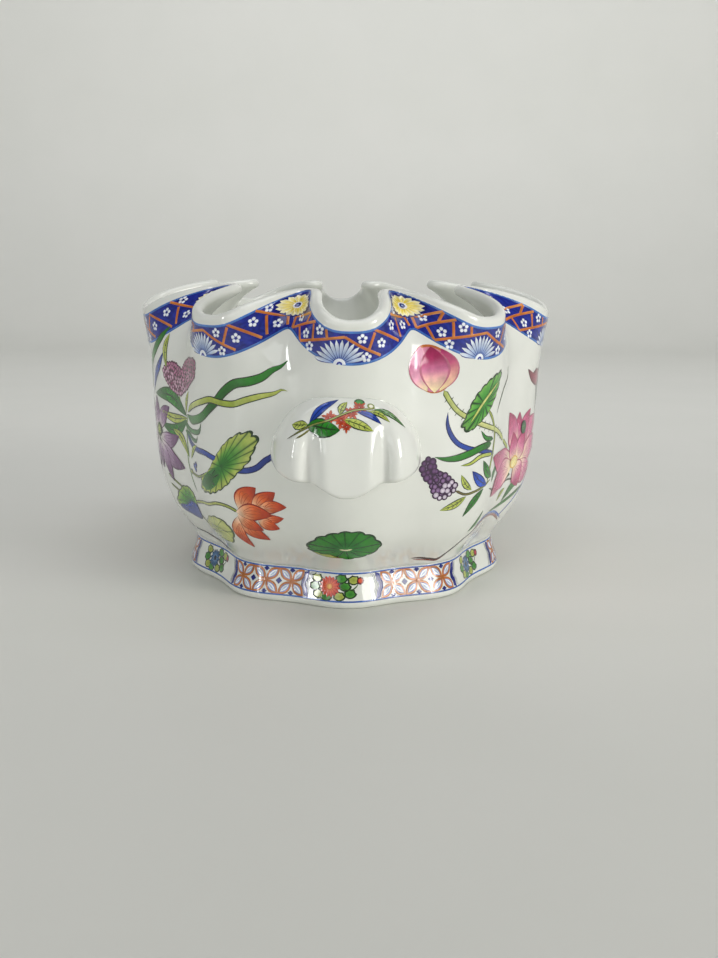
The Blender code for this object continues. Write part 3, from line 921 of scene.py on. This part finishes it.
def coral_lotus(painting):
    stroke(painting, [(-105, 42), (-92, 44), (-82, 45), (-70, 47.3), (-63, 47), (-57, 45)], 2.0,
           ["#8c9a44", "#b8bf62", "#98a64c"], edge=INK, ends=(0.05, 0.02), coat=2)
    lotus_flower(painting, [
        ((-56, 46), (-46.0, 57.5), 12.5, 0.10), ((-49, 47), (-36.5, 56.0), 11.0, 0.02),
        ((-46, 47), (-31.0, 49.5), 8.5, 0.06), ((-45, 43), (-33.0, 44.0), 6.5, -0.04),
        ((-47, 43), (-36.0, 38.5), 8.5, -0.06), ((-57.5, 43), (-54.5, 26.5), 9.5, -0.22),
        ((-56, 43), (-43.0, 32.0), 11.0, -0.12), ((-57.5, 44), (-45.0, 37.0), 9.5, -0.06),
        ((-58, 45), (-39.0, 45.0), 11.5, 0.04)], CORAL, "#8a1508", "#b8401c")
    stroke(painting, [(-106, 37), (-101, 33), (-97, 29), (-89, 26.5), (-84, 26)], 1.6,
           ["#8c9a44", "#a9b456"], edge=INK, coat=2)
    curled = [(-99, 31), (-92, 36), (-83, 38.5), (-73, 39), (-66.5, 36.5), (-66, 31.5), (-70, 27.5),
              (-80, 26.5), (-90, 26.2)]
    lotus_leaf(painting, curled, (-84, 31.5), ["#8fa044", "#b3be62", "#cdd27e", "#b6c064"], 3, scallops=9,
               edge="#46562a", ray_shade="#6b7c38")
    stroke(painting, [(-97, 30), (-88, 33), (-76, 33.5), (-68, 32)], 0.5, ["#4c5c2a"], coat=5)
    lotus_leaf(painting, [(-133, 37), (-124, 44.5), (-113, 48.5), (-105.5, 46.5), (-104, 41), (-118, 38)],
               (-112, 41), LEAF_GREEN, 3, scallops=9)
    lotus_leaf(painting, [(-131, 36), (-120, 38.5), (-110, 41.5), (-104.5, 40), (-104, 35), (-118, 33)],
               (-112, 38), BLUE, 5, scallops=5, edge="#101f58", ray_shade="#122666")
    ground = [(-150, 26), (-134, 23), (-120, 22.4), (-108, 21), (-96, 19.2), (-84, 18)]
    stroke(painting, ground, 1.8, ["#8a8f94", "#4c4a46", "#38302c"], ends=(0.3, 0.6), coat=1)
    stroke(painting, [(x, z - 0.8) for x, z in ground[2:]], 0.8, ["#6e3328", "#5a2a20"], ends=(0.3, 0.6),
           coat=2)


def round_leaf_and_ribbon(painting):
    ribbon = [(-101, 77), (-95, 72), (-88, 70.4), (-76, 70), (-66, 68), (-56, 65), (-50, 65), (-45, 66.5),
              (-40.5, 70), (-37, 72.5), (-36, 75)]
    stroke(painting, ribbon, 2.9, BLUE, edge=BLUE_INK, ends=(0.05, 0.08), coat=2)
    stroke(painting, [(-99, 57.5), (-90, 57), (-80, 59.5), (-72, 62)], 1.5, ["#8c9a44", "#5a7a30"],
           edge=INK, coat=2)
    leaf_line = [(-46, 81), (-44.5, 78), (-46.5, 74), (-48, 70.5), (-51, 67), (-55.5, 63), (-61, 58),
                 (-68, 54), (-77, 51.8), (-85.5, 53), (-84, 57), (-74, 62.5), (-68.5, 68), (-63, 74),
                 (-57.5, 78.5), (-51.5, 81.2)]
    lotus_leaf(painting, leaf_line, (-64, 65.5), LEAF_GREEN + ["#c2cd6a"], 4, scallops=20)
    fold = [(-64, 65), (-67, 58), (-73, 54), (-81, 52.8), (-84.5, 54.5), (-80, 58.5), (-73, 62.5)]
    pool(painting, closed_line(fold, 40), ["#17541c", "#1e6a22", "#2c7c2a"], coat=7, middle=(-74, 58.5),
         rays=7, ray_shade="#103c14")
    stroke(painting, [(-100.5, 72), (-102.5, 63), (-101, 55), (-97, 48)], 1.2, ["#6d8c3a", "#2c6a28"], coat=2)
    leaf(painting, (-97, 64.5), (-87, 72), 3.4, LIME, coat=3, side_veins=2)
    dot(painting, (-99, 58), 1.5, ["#c9cc7c", "#98a34c"], 4, edge=INK)
    for x, z in ((-93.5, 61.5), (-90.5, 62.5), (-92, 60.2)):
        dot(painting, (x, z), 1.6, ["#3d62c4", "#1c3590"], 4, edge="#101f58")
    for path, width in (([(-103, 81), (-97, 78.5), (-88, 78), (-81.5, 79.6), (-79, 83.5)], 2.6),
                        ([(-103, 77), (-97, 76), (-90.5, 74), (-86, 74.6), (-85, 77)], 2.1)):
        stroke(painting, path, width, ["#1f6a1c", "#4a8f4c", "#2c6c3a"], edge=INK, ends=(0.05, 0.3), coat=3)


def long_blades(painting):
    blade = [(-99, 85), (-94, 83.3), (-86, 84), (-77, 86.6), (-70, 91), (-65, 94.5), (-60, 99), (-54, 102.8),
             (-47, 104.2), (-41, 106.2), (-36, 109.5), (-32, 111.2), (-28.5, 114)]
    stroke(painting, blade, 4.3, GREEN + GREEN, edge=INK, ends=(0.10, 0.30), coat=2)
    blade = [(-98, 86), (-94, 88.4), (-86, 91), (-77, 93.2), (-69, 94.8), (-62, 94), (-55, 94), (-49, 96),
             (-42, 98), (-35, 99.6), (-31, 101.3), (-28.5, 100.8)]
    stroke(painting, blade, 3.2, LIME + LIME, edge=INK, ends=(0.10, 0.30), coat=5)


def berry_head(painting):
    heart = [(-80.5, 110.5), (-82.5, 105), (-90, 100), (-99, 95.5), (-108, 92.5), (-115, 93.5), (-123, 97.5),
             (-127, 102.5), (-121, 107), (-112, 107), (-106, 105.5), (-98, 109.5), (-88, 111.5)]
    berries(painting, heart, 1.4, [["#d9bccb", "#b9839f", "#8c4a6c"], ["#c98fae", "#a04a76", "#7c2c58"],
                                     ["#b8648c", "#932f62", "#6c1f4c"]], (0.6, 0.8), 3, "#5a2040",
            "#8c4a6c")
    stroke(painting, [(-110, 93.5), (-108, 90), (-103, 86)], 1.2, ["#6d8c3a", "#3c6a28"], coat=2)
    leaf(painting, (-101, 85), (-95, 96), 3.6, LIME, coat=2, side_veins=2)
    leaf(painting, (-100, 84), (-141, 91), 8.0, GREEN, bow=-0.10, coat=3, side_veins=5)
    leaf(painting, (-100, 83), (-134, 83.5), 5.0, LIME, bow=0.06, coat=4, side_veins=3)
    leaf(painting, (-100, 82), (-133, 77), 6.5, GREEN, bow=0.12, coat=3, side_veins=4)
    leaf(painting, (-100.5, 65), (-119, 76), 5.2, LIME, bow=-0.12, coat=4, side_veins=3)
    stroke(painting, [(-99, 85), (-101, 77), (-101, 70), (-100, 64)], 1.0, ["#6d8c3a", "#4c7a30"], coat=3)
    stroke(painting, [(-118, 125), (-124, 120), (-133, 113), (-146, 104), (-153, 92)], 3.8, GREEN, edge=INK,
           ends=(0.3, 0.3), coat=2)
    stroke(painting, [(-124, 112), (-130, 106), (-138, 100), (-146, 91)], 4.4, BLUE, edge=BLUE_INK,
           ends=(0.5, 0.5), coat=3)
    leaf(painting, (-122, 104), (-118.5, 121), 4.6, LIME, bow=0.12, coat=4, side_veins=3)


def mauve_lotus(painting):
    lotus_flower(painting, [((-140, 74), (-156, 88), 12, 0.05), ((-138, 74), (-140, 90), 12, 0.05),
                            ((-136, 74), (-122, 86), 11, 0.1), ((-142, 72), (-170, 78), 12, 0.1),
                            ((-142, 70), (-168, 63), 12, -0.1), ((-136, 71), (-112, 73), 10, -0.1),
                            ((-141, 68), (-152, 50), 12, -0.08), ((-136, 69), (-109, 58), 12.5, -0.10),
                            ((-138, 68), (-127, 49), 12.5, 0.08), ((-140, 70), (-139, 54), 11.5, 0.0)],
                 MAUVE, "#5c3a5c", "#7c527e")
    dot(painting, (-138, 73.5), 4.4, ["#a9b84a", "#8c9c3c", "#5c7a2c"], 14, count=14, edge=INK, squash=0.8)
    for i in range(7):
        spot = place_at(painting, (-138, 73.5), [[0, 2.4]], turned=2 * np.pi * i / 7)[0]
        dot(painting, spot, 0.55, ["#3c4a1c"], 17)
    for path in ([(-134, 52), (-124, 49), (-114, 46), (-106, 43)], [(-134, 47), (-122, 44), (-110, 40)]):
        stroke(painting, path, 1.5, ["#8c9a44", "#6b7c38"], edge=INK, ends=(0.1, 0.1), coat=2)


def pink_bud(painting):
    stem = [(44, 101), (47, 96.5), (51, 92), (57, 88.4), (64, 85.5), (71, 83.4), (80, 81), (88, 78),
            (94, 74.5)]
    stroke(painting, stem, 2.7, ["#a9b456", "#d3d68c", "#b3bd62"], edge=STEM_INK, ends=(0.02, 0.03), coat=2)
    line = brush_path(stem, 30)
    for i, spot in enumerate(line[2:-2]):
        way = 1 if i % 2 else -1
        stroke(painting, [spot + [0.5 * way, 0.7 * way], spot + [1.6 * way, 2.1 * way]], 0.34, ["#3c4a20"],
               ends=(0, 0.5), coat=4, steps=4)
    bud = [(32.5, 119.5), (38, 120.5), (43, 118.5), (46.5, 115), (48.2, 110), (47.5, 105), (44.5, 101.3),
           (39, 99.8), (33.2, 102), (29.3, 106.5), (28.6, 112), (29.8, 116.5)]
    pool(painting, closed_line(bud, 48), ["#e8a8b8", "#e2a0b0", "#cf6f94"], edge="#b8642c", coat=3,
         middle=(38.5, 107))
    petals = [((36, 100.8), (33.5, 119.8), 8.5, 0.20, ["#f1e3a8", "#e19ab4", "#c2588c", "#c25a88"]),
              ((42, 100.8), (42.5, 118.8), 8.0, -0.26, ["#f1e0a0", "#eab49c", "#c8507c", "#a62a60"]),
              ((39.6, 100.2), (38.2, 119.6), 14.5, -0.02,
               ["#f4e7ae", "#f0c0b0", "#cf6a98", "#a8285c", "#941c4c"])]
    for i, (base, tip, width, bow, shades) in enumerate(petals):
        petal(painting, base, tip, width, shades, "#b8607c", 5 + 2 * i, bow=bow, ends=(0.5, 0.5))
    curled = [(81.5, 106.5), (73, 105), (66, 101.3), (60.5, 96.5), (57, 90.5), (54.6, 84.5), (57.5, 82.8),
              (65, 86), (72.5, 91), (78.5, 98)]
    lotus_leaf(painting, curled, (67.5, 93.5), ["#3f9a34", "#2f8426", "#4c9c36", "#79b050"], 4, scallops=16)
    stroke(painting, [(79, 103), (72, 98.5), (65, 93), (58.5, 86)], 2.0, ["#b9c35c", "#d0d67c", "#b9c35c"],
           edge="#3c6a20", ends=(0.4, 0.3), coat=7)
    stroke(painting, [(95, 109), (95.5, 104), (89, 98), (83.5, 92), (81, 88)], 1.4, ["#5c7a54", "#2c5a28"],
           edge=INK, ends=(0.4, 0.4), coat=2)
    stroke(painting, [(71, 91), (76, 86), (79.5, 79), (79, 72), (77, 64), (76, 57)], 1.9,
           ["#a9b456", "#8ea044"], edge=STEM_INK, ends=(0.1, 0.1), coat=2)


def grape_sprig(painting):
    stroke(painting, [(46.5, 91.5), (46.6, 86), (48.5, 81.5), (52, 77.6), (58, 74.8), (66, 73), (80, 70)],
           2.5, BLUE, edge=BLUE_INK, ends=(0.25, 0.1), coat=2)
    stroke(painting, [(41, 72), (46, 70.8), (52, 70.8), (58, 72), (66, 74), (76, 75.2)], 3.6, GREEN, edge=INK,
           ends=(0.45, 0.1), coat=4)
    stroke(painting, [(66, 82), (69.5, 78.6), (78, 77)], 2.4, GREEN, edge=INK, ends=(0.5, 0.2), coat=2)
    stroke(painting, [(54.5, 67.2), (60, 67.6), (66, 70), (78, 70.2)], 2.2, LIME, edge=INK,
           ends=(0.45, 0.1), coat=3)
    outline = [(37, 72.5), (40, 71), (40.6, 68), (44.5, 66), (48.5, 64), (51.5, 60.5), (54.5, 57),
               (51.5, 53.6), (46, 51.6), (41, 55.4), (38, 61), (35.5, 64), (33.8, 67), (34.8, 70.5)]
    berries(painting, outline, 1.6, [["#6b4478", "#4a2550", "#341838"], ["#7c5488", "#553060", "#3c1c44"],
                                      ["#9c7ca6", "#6f4a7c", "#4c2a58"], ["#e9e2ea", "#c3b3c9", "#937aa0"]],
            (0.8, -0.9), 3, "#33163a", "#7c6088")
    stroke(painting, [(53, 56), (59, 53.6), (66, 54.2), (73, 55.6), (80, 58)], 1.3, ["#6b5a3c", "#8ea044"],
           edge="#3c3420", ends=(0.05, 0.2), coat=2)
    leaf(painting, (63, 55.2), (55.5, 63), 3.6, LIME, bow=0.1, coat=3, side_veins=2)
    leaf(painting, (75.5, 56), (62, 64), 5.6, ["#1d3fa8", "#2c58c8", "#16307e"], edge=BLUE_INK, vein=BLUE_INK,
         bow=0.08, coat=4, side_veins=3)
    leaf(painting, (80.5, 59), (69.5, 68), 5.4, GREEN, bow=0.1, coat=3, side_veins=3)
    leaf(painting, (60, 52.5), (46.5, 47), 4.2, LIME, bow=0.06, coat=4, side_veins=4)
    leaf(painting, (73, 54.5), (60.5, 42.5), 4.8, GREEN, bow=-0.06, coat=3, side_veins=5)
    stroke(painting, [(39, 21.2), (45, 21), (51, 20), (58, 19.2), (64, 23.4), (69, 28), (77, 32.5),
                      (84, 36)], 1.5, ["#4a2a20", "#3c3634", "#6b6a6c"], ends=(0.15, 0.4), coat=1)
    stroke(painting, [(41, 20.4), (51, 19.2), (58, 18.6), (62, 21)], 0.7, ["#8c3a28", "#7a3020"],
           ends=(0.2, 0.3), coat=2)


def pink_lotus(painting):
    lotus_flower(painting, [((122, 64), (150, 80), 17, 0.10), ((120, 65), (134, 85), 17, 0.06),
                            ((118, 65), (118, 85), 17, 0.0), ((114, 65), (103, 86), 18, -0.08),
                            ((122, 61), (156, 68), 17, 0.04), ((120, 60), (150, 54), 17, -0.10),
                            ((117, 60), (129, 47), 17, 0.06), ((113, 63), (80, 68), 17, 0.06),
                            ((114, 60), (85, 48.5), 20, -0.08), ((116, 61), (111, 76), 15, 0.04),
                            ((118, 61), (127, 76), 15, 0.0)], ROSE, "#a8486c", "#c25c88")
    lotus_leaf(painting, round_line(4.6, 3.0, 14) + [115.5, 61], (115.5, 61), ["#f4e694", "#f2e2a6"], 18,
               scallops=6, edge="#e2b45c", ray_shade="#e2b45c")
    dot(painting, (124, 77), 3.4, ["#5c8a4c", "#2c5a34", "#1c4428"], 18, count=12, edge="#183018")
    stroke(painting, [(94, 74.5), (99, 72), (104, 69)], 2.3, ["#b3bd62", "#98a64c"], edge=STEM_INK, coat=2)
    leaf(painting, (82, 56), (88, 65), 4.0, GREEN, bow=0.1, coat=2, side_veins=2)
    dot(painting, (126.5, 54.5), 3.0, ["#3d62c4", "#1c3590"], 3, count=12, edge="#101f58", squash=1.3)
    leaf(painting, (97, 50), (114, 55), 6.0, GREEN, bow=0.12, coat=3, side_veins=4)
    leaf(painting, (103, 43), (111, 48.5), 3.8, LIME, bow=0.1, coat=4, side_veins=2)
    leaf(painting, (112, 41.5), (131, 50), 5.4, GREEN, bow=0.1, coat=3, side_veins=4)
    stroke(painting, [(93, 39.5), (104, 39.3), (116, 40.6), (128, 43), (140, 46)], 2.4, GREEN, edge=INK,
           ends=(0.5, 0.2), coat=2)
    stroke(painting, [(80, 53.5), (90, 51), (100, 51), (112, 52.6), (128, 50)], 1.0, ["#5a5a4c", "#4c4a3c"],
           coat=2)
    stroke(painting, [(70, 33), (75, 37), (80, 42.5)], 3.0, GREEN, edge=INK, ends=(0.4, 0.4), coat=2)
    arc = [(76, 34.5), (84, 37.6), (96, 38), (108, 36.6), (118, 33.4), (127, 30)]
    stroke(painting, arc, 1.6, ["#27479c", "#6f8cc8", "#27479c"], ends=(0.3, 0.3), coat=3)
    stroke(painting, [(x, z - 1.4) for x, z in arc], 1.3, ["#7c2c24", "#9c5a4c", "#7c2c24"],
           ends=(0.3, 0.3), coat=2)
    stroke(painting, [(118, 32), (128, 38), (140, 45), (152, 50)], 1.0, ["#27479c", "#3c5fb4"], coat=2)
    pool(painting, closed_line([(124, 105), (131, 102.5), (138, 104.5), (145, 102.8), (151, 105), (149, 99),
                                (143, 95.6), (136, 96.5), (129, 99.5)], 36),
         ["#b8305c", "#8c1838", "#6c1028"], edge="#4c0c20", coat=3, middle=(139, 100))
    stroke(painting, [(141, 96), (144, 88), (146, 81)], 1.1, ["#6d8c3a", "#8ea044"], edge=INK, coat=2)


def floating_leaf(painting):
    """The dark lotus leaf that floats below each handle, its near edge turned up and showing yellow."""
    under = [(-21.5, 29), (-16, 26.4), (-9, 25.2), (-3, 25.6), (-8, 27.6), (-14, 28.2)]
    pool(painting, closed_line(under, 30), ["#c3c86c", "#a9b45c"], edge="#5a6a2c", coat=1)
    outline = [(-21.5, 30), (-16.5, 35), (-9, 38.2), (-1, 39.8), (8, 38.6), (14.2, 34.5), (16, 31.5),
               (12.5, 28.2), (6, 26), (-2, 25.2), (-9, 27), (-16, 27.6)]
    lotus_leaf(painting, outline, (-1.5, 30.6), ["#2f8a34", "#1f6e2a", "#2b8523", "#2c7c2a"], 3, scallops=13,
               edge="#143c18", ray_shade="#12441c")
    stroke(painting, [(-4.6, 30.6), (-1.5, 30.2), (1.8, 30.8)], 1.1, ["#e2e4a8", "#f0f0cc", "#e2e4a8"],
           coat=6)


def side_bouquet(painting):
    """The middle of each long side: a tall leaf, a full pink bloom and a coral bud among grasses."""
    hub = (190, 24)
    for path in ([hub, (188, 45), (180, 68), (174, 88)], [hub, (193, 48), (203, 75), (207, 100)],
                 [hub, (192, 36), (198, 50)]):
        stroke(painting, path, 2.3, ["#98a64c", "#c3c86c", "#98a64c"], edge=STEM_INK, ends=(0.05, 0.05),
               coat=2)
    lotus_leaf(painting, [(150, 92), (155, 103), (166, 108), (180, 108), (191, 103), (194, 93), (188, 84),
                          (176, 80), (160, 82)], (172, 93), LEAF_GREEN + ["#c2cd6a"], 4, scallops=20)
    lotus_flower(painting, [
        ((200, 56), (186, 78), 12, -0.1), ((202, 56), (203, 80), 12, 0.0), ((204, 56), (221, 77), 12, 0.1),
        ((198, 54), (178, 66), 12, -0.1), ((206, 54), (228, 64), 12, 0.1), ((198, 52), (180, 52), 12, 0.12),
        ((206, 52), (226, 50), 12, -0.12), ((200, 56), (196, 70), 11, 0.0), ((204, 56), (212, 69), 11, 0.0),
        ((202, 50), (202, 38), 12, 0.0)], ROSE, "#a8486c", "#c25c88")
    dot(painting, (202, 57), 4.6, ["#f4e694", "#e6c85c"], 16, count=16, edge="#c98f3c", squash=0.7)
    petals = [((205, 99), (202, 115), 8, 0.14), ((209, 99), (212, 115), 8, -0.14),
              ((207, 98.5), (207, 113), 9, 0.0)]
    lotus_flower(painting, petals, CORAL, "#8a1508", "#b8401c")
    for path, shades, width in (([(189, 30), (176, 44), (166, 62), (152, 72)], GREEN, 3.6),
                                ([(191, 30), (178, 38), (163, 42), (150, 52)], LIME, 2.8),
                                ([(192, 30), (212, 34), (226, 44), (233, 58)], BLUE, 3.0),
                                ([(192, 28), (206, 28), (220, 31), (232, 38)], GREEN, 3.4),
                                ([(206, 80), (216, 90), (226, 94), (236, 104)], GREEN, 3.0)):
        stroke(painting, path, width, shades, edge=INK, ends=(0.1, 0.5), coat=2)
    leaf(painting, (183, 60), (166, 70), 5.0, LIME, coat=3)
    leaf(painting, (196, 66), (184, 84), 4.6, GREEN, coat=1)
    stroke(painting, [(152, 22), (168, 20.6), (190, 20), (212, 20.8), (232, 23)], 1.6,
           ["#4a2a20", "#5a5450", "#4a2a20"], ends=(0.3, 0.3), coat=1)


MOTIFS = {"coral_lotus": coral_lotus, "round_leaf": round_leaf_and_ribbon, "blades": long_blades,
          "berries": berry_head, "mauve_lotus": mauve_lotus, "pink_bud": pink_bud, "grapes": grape_sprig,
          "pink_lotus": pink_lotus, "floating_leaf": floating_leaf, "side_bouquet": side_bouquet}
for name, draw in MOTIFS.items():
    fire_twice(name, draw)


# ---------------------------------------------------------------- the sprig on each handle
# A short spray of red blossom and leaves laid over the glaze, across the upper slope of the shell.
# Both handles carry the same spray, turned half round for the one at the back.

SHELL_DROP = 44.0            # from the crown to the lip, as the brush goes
SPRIG_HALF_WIDTH, SPRIG_LOW, SPRIG_HIGH = 31.0, 0.5, 38.0
SPRIG_BLUE = ["#1d3a94", "#2c50b4", "#16307e"]


def on_handle(end):
    """Places on the outer face of the handle at one end: millimetres across, and up from its lip."""
    def surface(places):
        across = np.clip((places[..., 0] - HANDLE_SHIFT) / (HANDLE_WIDTH / 2), -0.99, 0.99)
        drop = np.pi / 2 * (1 - places[..., 1] / SHELL_DROP)
        return shell_outside(across, drop) * np.array([-end, end, 1.0])
    return surface


def trim_to_handle(places):
    return np.clip(places, [HANDLE_SHIFT - SPRIG_HALF_WIDTH, SPRIG_LOW],
                   [HANDLE_SHIFT + SPRIG_HALF_WIDTH, SPRIG_HIGH])


def handle_sprig(sprig):
    """Red blossoms on a bent twig, with green, lime and blue leaves."""
    stroke(sprig, [(-26, 16), (-21, 17), (-15, 18.3), (-9, 20), (-4, 22.3), (2, 24.5), (7, 25.2), (10, 26)],
           1.1, ["#5a5a2c", "#98a64c", "#b0b45c"], edge="#3c3a1c", ends=(0.2, 0.1), coat=9)
    stroke(sprig, [(-22.5, 14.4), (-20, 14.8), (-16.5, 16.4)], 0.9, ["#5a5a2c", "#7c7c3c"], coat=2)
    leaf(sprig, (-17.5, 19), (-24, 23.5), 4.4, LIME, coat=2, side_veins=3)
    leaf(sprig, (-17, 19), (-5, 30), 4.4, SPRIG_BLUE, edge=BLUE_INK, vein=BLUE_INK,
         coat=2, side_veins=0)
    leaf(sprig, (-18, 18.5), (-4.5, 16.5), 8.6, GREEN, bow=-0.05, coat=7, side_veins=5)
    for centre, size in (((-8.5, 21.2), 0.9), ((-4, 20.2), 1.0), ((0.2, 23.4), 0.95), ((3.4, 26.0), 0.85),
                         ((-1.8, 17.8), 0.7)):
        for i in range(9):
            base, tip = place_at(sprig, centre, [[0, 0.2], [0, 3.6]], turned=2 * np.pi * i / 9 + centre[0],
                                 size=size * (0.8 + 0.35 * (i % 2)))
            petal(sprig, base, tip, 1.5 * size, ["#7c1c08", "#b53c14", "#e08a5c"], "#a8381c", 5,
                  ends=(0.7, 0.5))
    leaf(sprig, (-4.5, 22.5), (-1.5, 28.5), 3.6, LIME, coat=7, side_veins=2)
    dot(sprig, (3.5, 28.4), 2.3, ["#4c9c4c", "#2c7c34"], 3, count=12, edge="#1c4c20")
    leaf(sprig, (-3.5, 20.6), (9, 15.6), 4.6, LIME, bow=0.04, coat=6, side_veins=4)
    leaf(sprig, (2, 24), (12.5, 18.6), 3.2, SPRIG_BLUE, edge=BLUE_INK, vein=BLUE_INK,
         coat=4, side_veins=0)
    leaf(sprig, (7, 24.3), (16, 21), 3.2, LIME, coat=3, side_veins=3)
    leaf(sprig, (9.5, 25.4), (22.5, 23.4), 3.4, ["#5c8a4c", "#7ca26c", "#4c7a44"], coat=3, side_veins=3)
    dot(sprig, (8.2, 27), 1.6, ["#f0eedc", "#dcd9b0"], 5, count=12, edge="#7c8a3c")


for name, end in (("painted_front_sprig", -1), ("painted_back_sprig", 1)):
    painting = Painting(on_handle(end), trim_to_handle)
    handle_sprig(painting)
    painting.fire(name)


# ---------------------------------------------------------------- floor, light and camera
# Not part of the object: a pale sweep of board, two tall strips whose reflections run down the flutes, broad
# soft lights from the right, the left and above, one that washes the board behind, a room that is brighter
# low down than overhead, and a camera a little over the rim.

SWEEP_HALF_WIDTH, SWEEP_HEIGHT = 2600.0, 2600.0
SWEEP_FRONT, SWEEP_BACK, SWEEP_BEND = -1500.0, 1500.0, 500.0
BEND_ROWS = 13
# Name, place, what it points at, width and height in metres, watts and tint
SOFT_LIGHTS = [
    ("strip_left", (-0.80, -0.55, 0.24), (0, 0, 0.10), (0.06, 0.36), 1.3, "#ffffff"),
    ("strip_right", (0.80, -0.62, 0.24), (0, 0, 0.10), (0.06, 0.36), 1.3, "#ffffff"),
    ("broad_right", (1.5, -1.2, 0.5), (0, 0, 0.08), (1.0, 0.8), 15.5, "#fffdf8"),
    ("broad_left", (-1.1, -1.7, 0.5), (0, 0, 0.08), (1.0, 0.8), 3.5, "#fbfdff"),
    ("overhead", (0.1, -0.7, 1.7), (0.0, -0.35, 0.0), (1.4, 1.0), 7.5, "#fdfdff"),
    ("back_wash", (0.2, 0.15, 1.6), (0.25, 2.2, 0.8), (2.6, 0.6), 22.0, "#fbfbff"),
]
CAMERA_DISTANCE, CAMERA_HEIGHT, CAMERA_SIDE = 0.6372, 0.1540, 0.00803
CAMERA_PITCH, CAMERA_ROLL, CAMERA_YAW = np.radians(10.2), np.radians(0.5), np.radians(1.7)
CAMERA_LENS, CAMERA_FILM_WIDTH = 45.09, 36.0


def matt_painted_board(name):
    """A pale painted board with a faint cloudiness."""
    material = bpy.data.materials.new(name)
    material.use_nodes = True
    surface = material.node_tree.nodes["Principled BSDF"]
    place = add_node(material, "ShaderNodeTexCoord")
    cloud = add_node(material, "ShaderNodeTexNoise", {"Scale": 1 / (120 * MM), "Detail": 4.0},
                     {"Vector": (place, "Object")})
    board = add_node(material, "ShaderNodeMix", {6: (*srgb("#e4e4de"), 1), 7: (*srgb("#dedfd8"), 1)},
                     {0: (cloud, "Fac")}, data_type="RGBA")
    set_inputs(material, surface, {"Roughness": 0.55}, {"Base Color": (board, 2)})
    return material


def soft_light(name, place, aim, size, watts, tint):
    """A flat soft light, turned to what it points at."""
    bpy.ops.object.light_add(type="AREA", location=place)
    lamp = bpy.context.object
    lamp.name = name
    lamp.rotation_euler = (Vector(aim) - Vector(place)).to_track_quat("-Z", "Y").to_euler()
    lamp.data.shape = "RECTANGLE"
    lamp.data.size, lamp.data.size_y = size
    lamp.data.energy = watts
    lamp.data.color = srgb(tint)
    lamp.select_set(False)


profile = [(SWEEP_FRONT, 0.0)]
profile += [(SWEEP_BACK + SWEEP_BEND * np.sin(a), SWEEP_BEND * (1 - np.cos(a)))
            for a in np.linspace(0, np.pi / 2, BEND_ROWS)]
profile += [(SWEEP_BACK + SWEEP_BEND, SWEEP_HEIGHT)]
sides = (-SWEEP_HALF_WIDTH, SWEEP_HALF_WIDTH)
sweep = press_clay("studio_sweep", np.array([[(x, y, z) for x in sides] for y, z in profile]))
sweep.data.materials.append(matt_painted_board("matt_painted_board"))

for light in SOFT_LIGHTS:
    soft_light(*light)

room = bpy.data.worlds.new("room")
bpy.context.scene.world = room
room.use_nodes = True
way = add_node(room, "ShaderNodeTexCoord")
height = add_node(room, "ShaderNodeSeparateXYZ", links={"Vector": (way, "Generated")})
fade = add_node(room, "ShaderNodeMapRange",
                {"From Min": 0.15, "From Max": 0.8, "To Min": 0.32, "To Max": 0.12},
                {"Value": (height, "Z")})
set_inputs(room, room.node_tree.nodes["Background"], {"Color": (*srgb("#f2f4f3"), 1)},
           {"Strength": (fade, "Result")})
bpy.context.scene.view_settings.view_transform = "Standard"

bpy.ops.object.camera_add()
camera = bpy.context.object
camera.name = "camera"
camera.data.sensor_width = CAMERA_FILM_WIDTH
camera.data.lens = CAMERA_LENS
camera.matrix_world = (Matrix.Rotation(-CAMERA_YAW, 4, "Z")
                       @ Matrix.Translation((CAMERA_SIDE, -CAMERA_DISTANCE, CAMERA_HEIGHT))
                       @ Matrix.Rotation(np.pi / 2 - CAMERA_PITCH, 4, "X")
                       @ Matrix.Rotation(CAMERA_ROLL, 4, "Z"))
bpy.context.scene.camera = camera
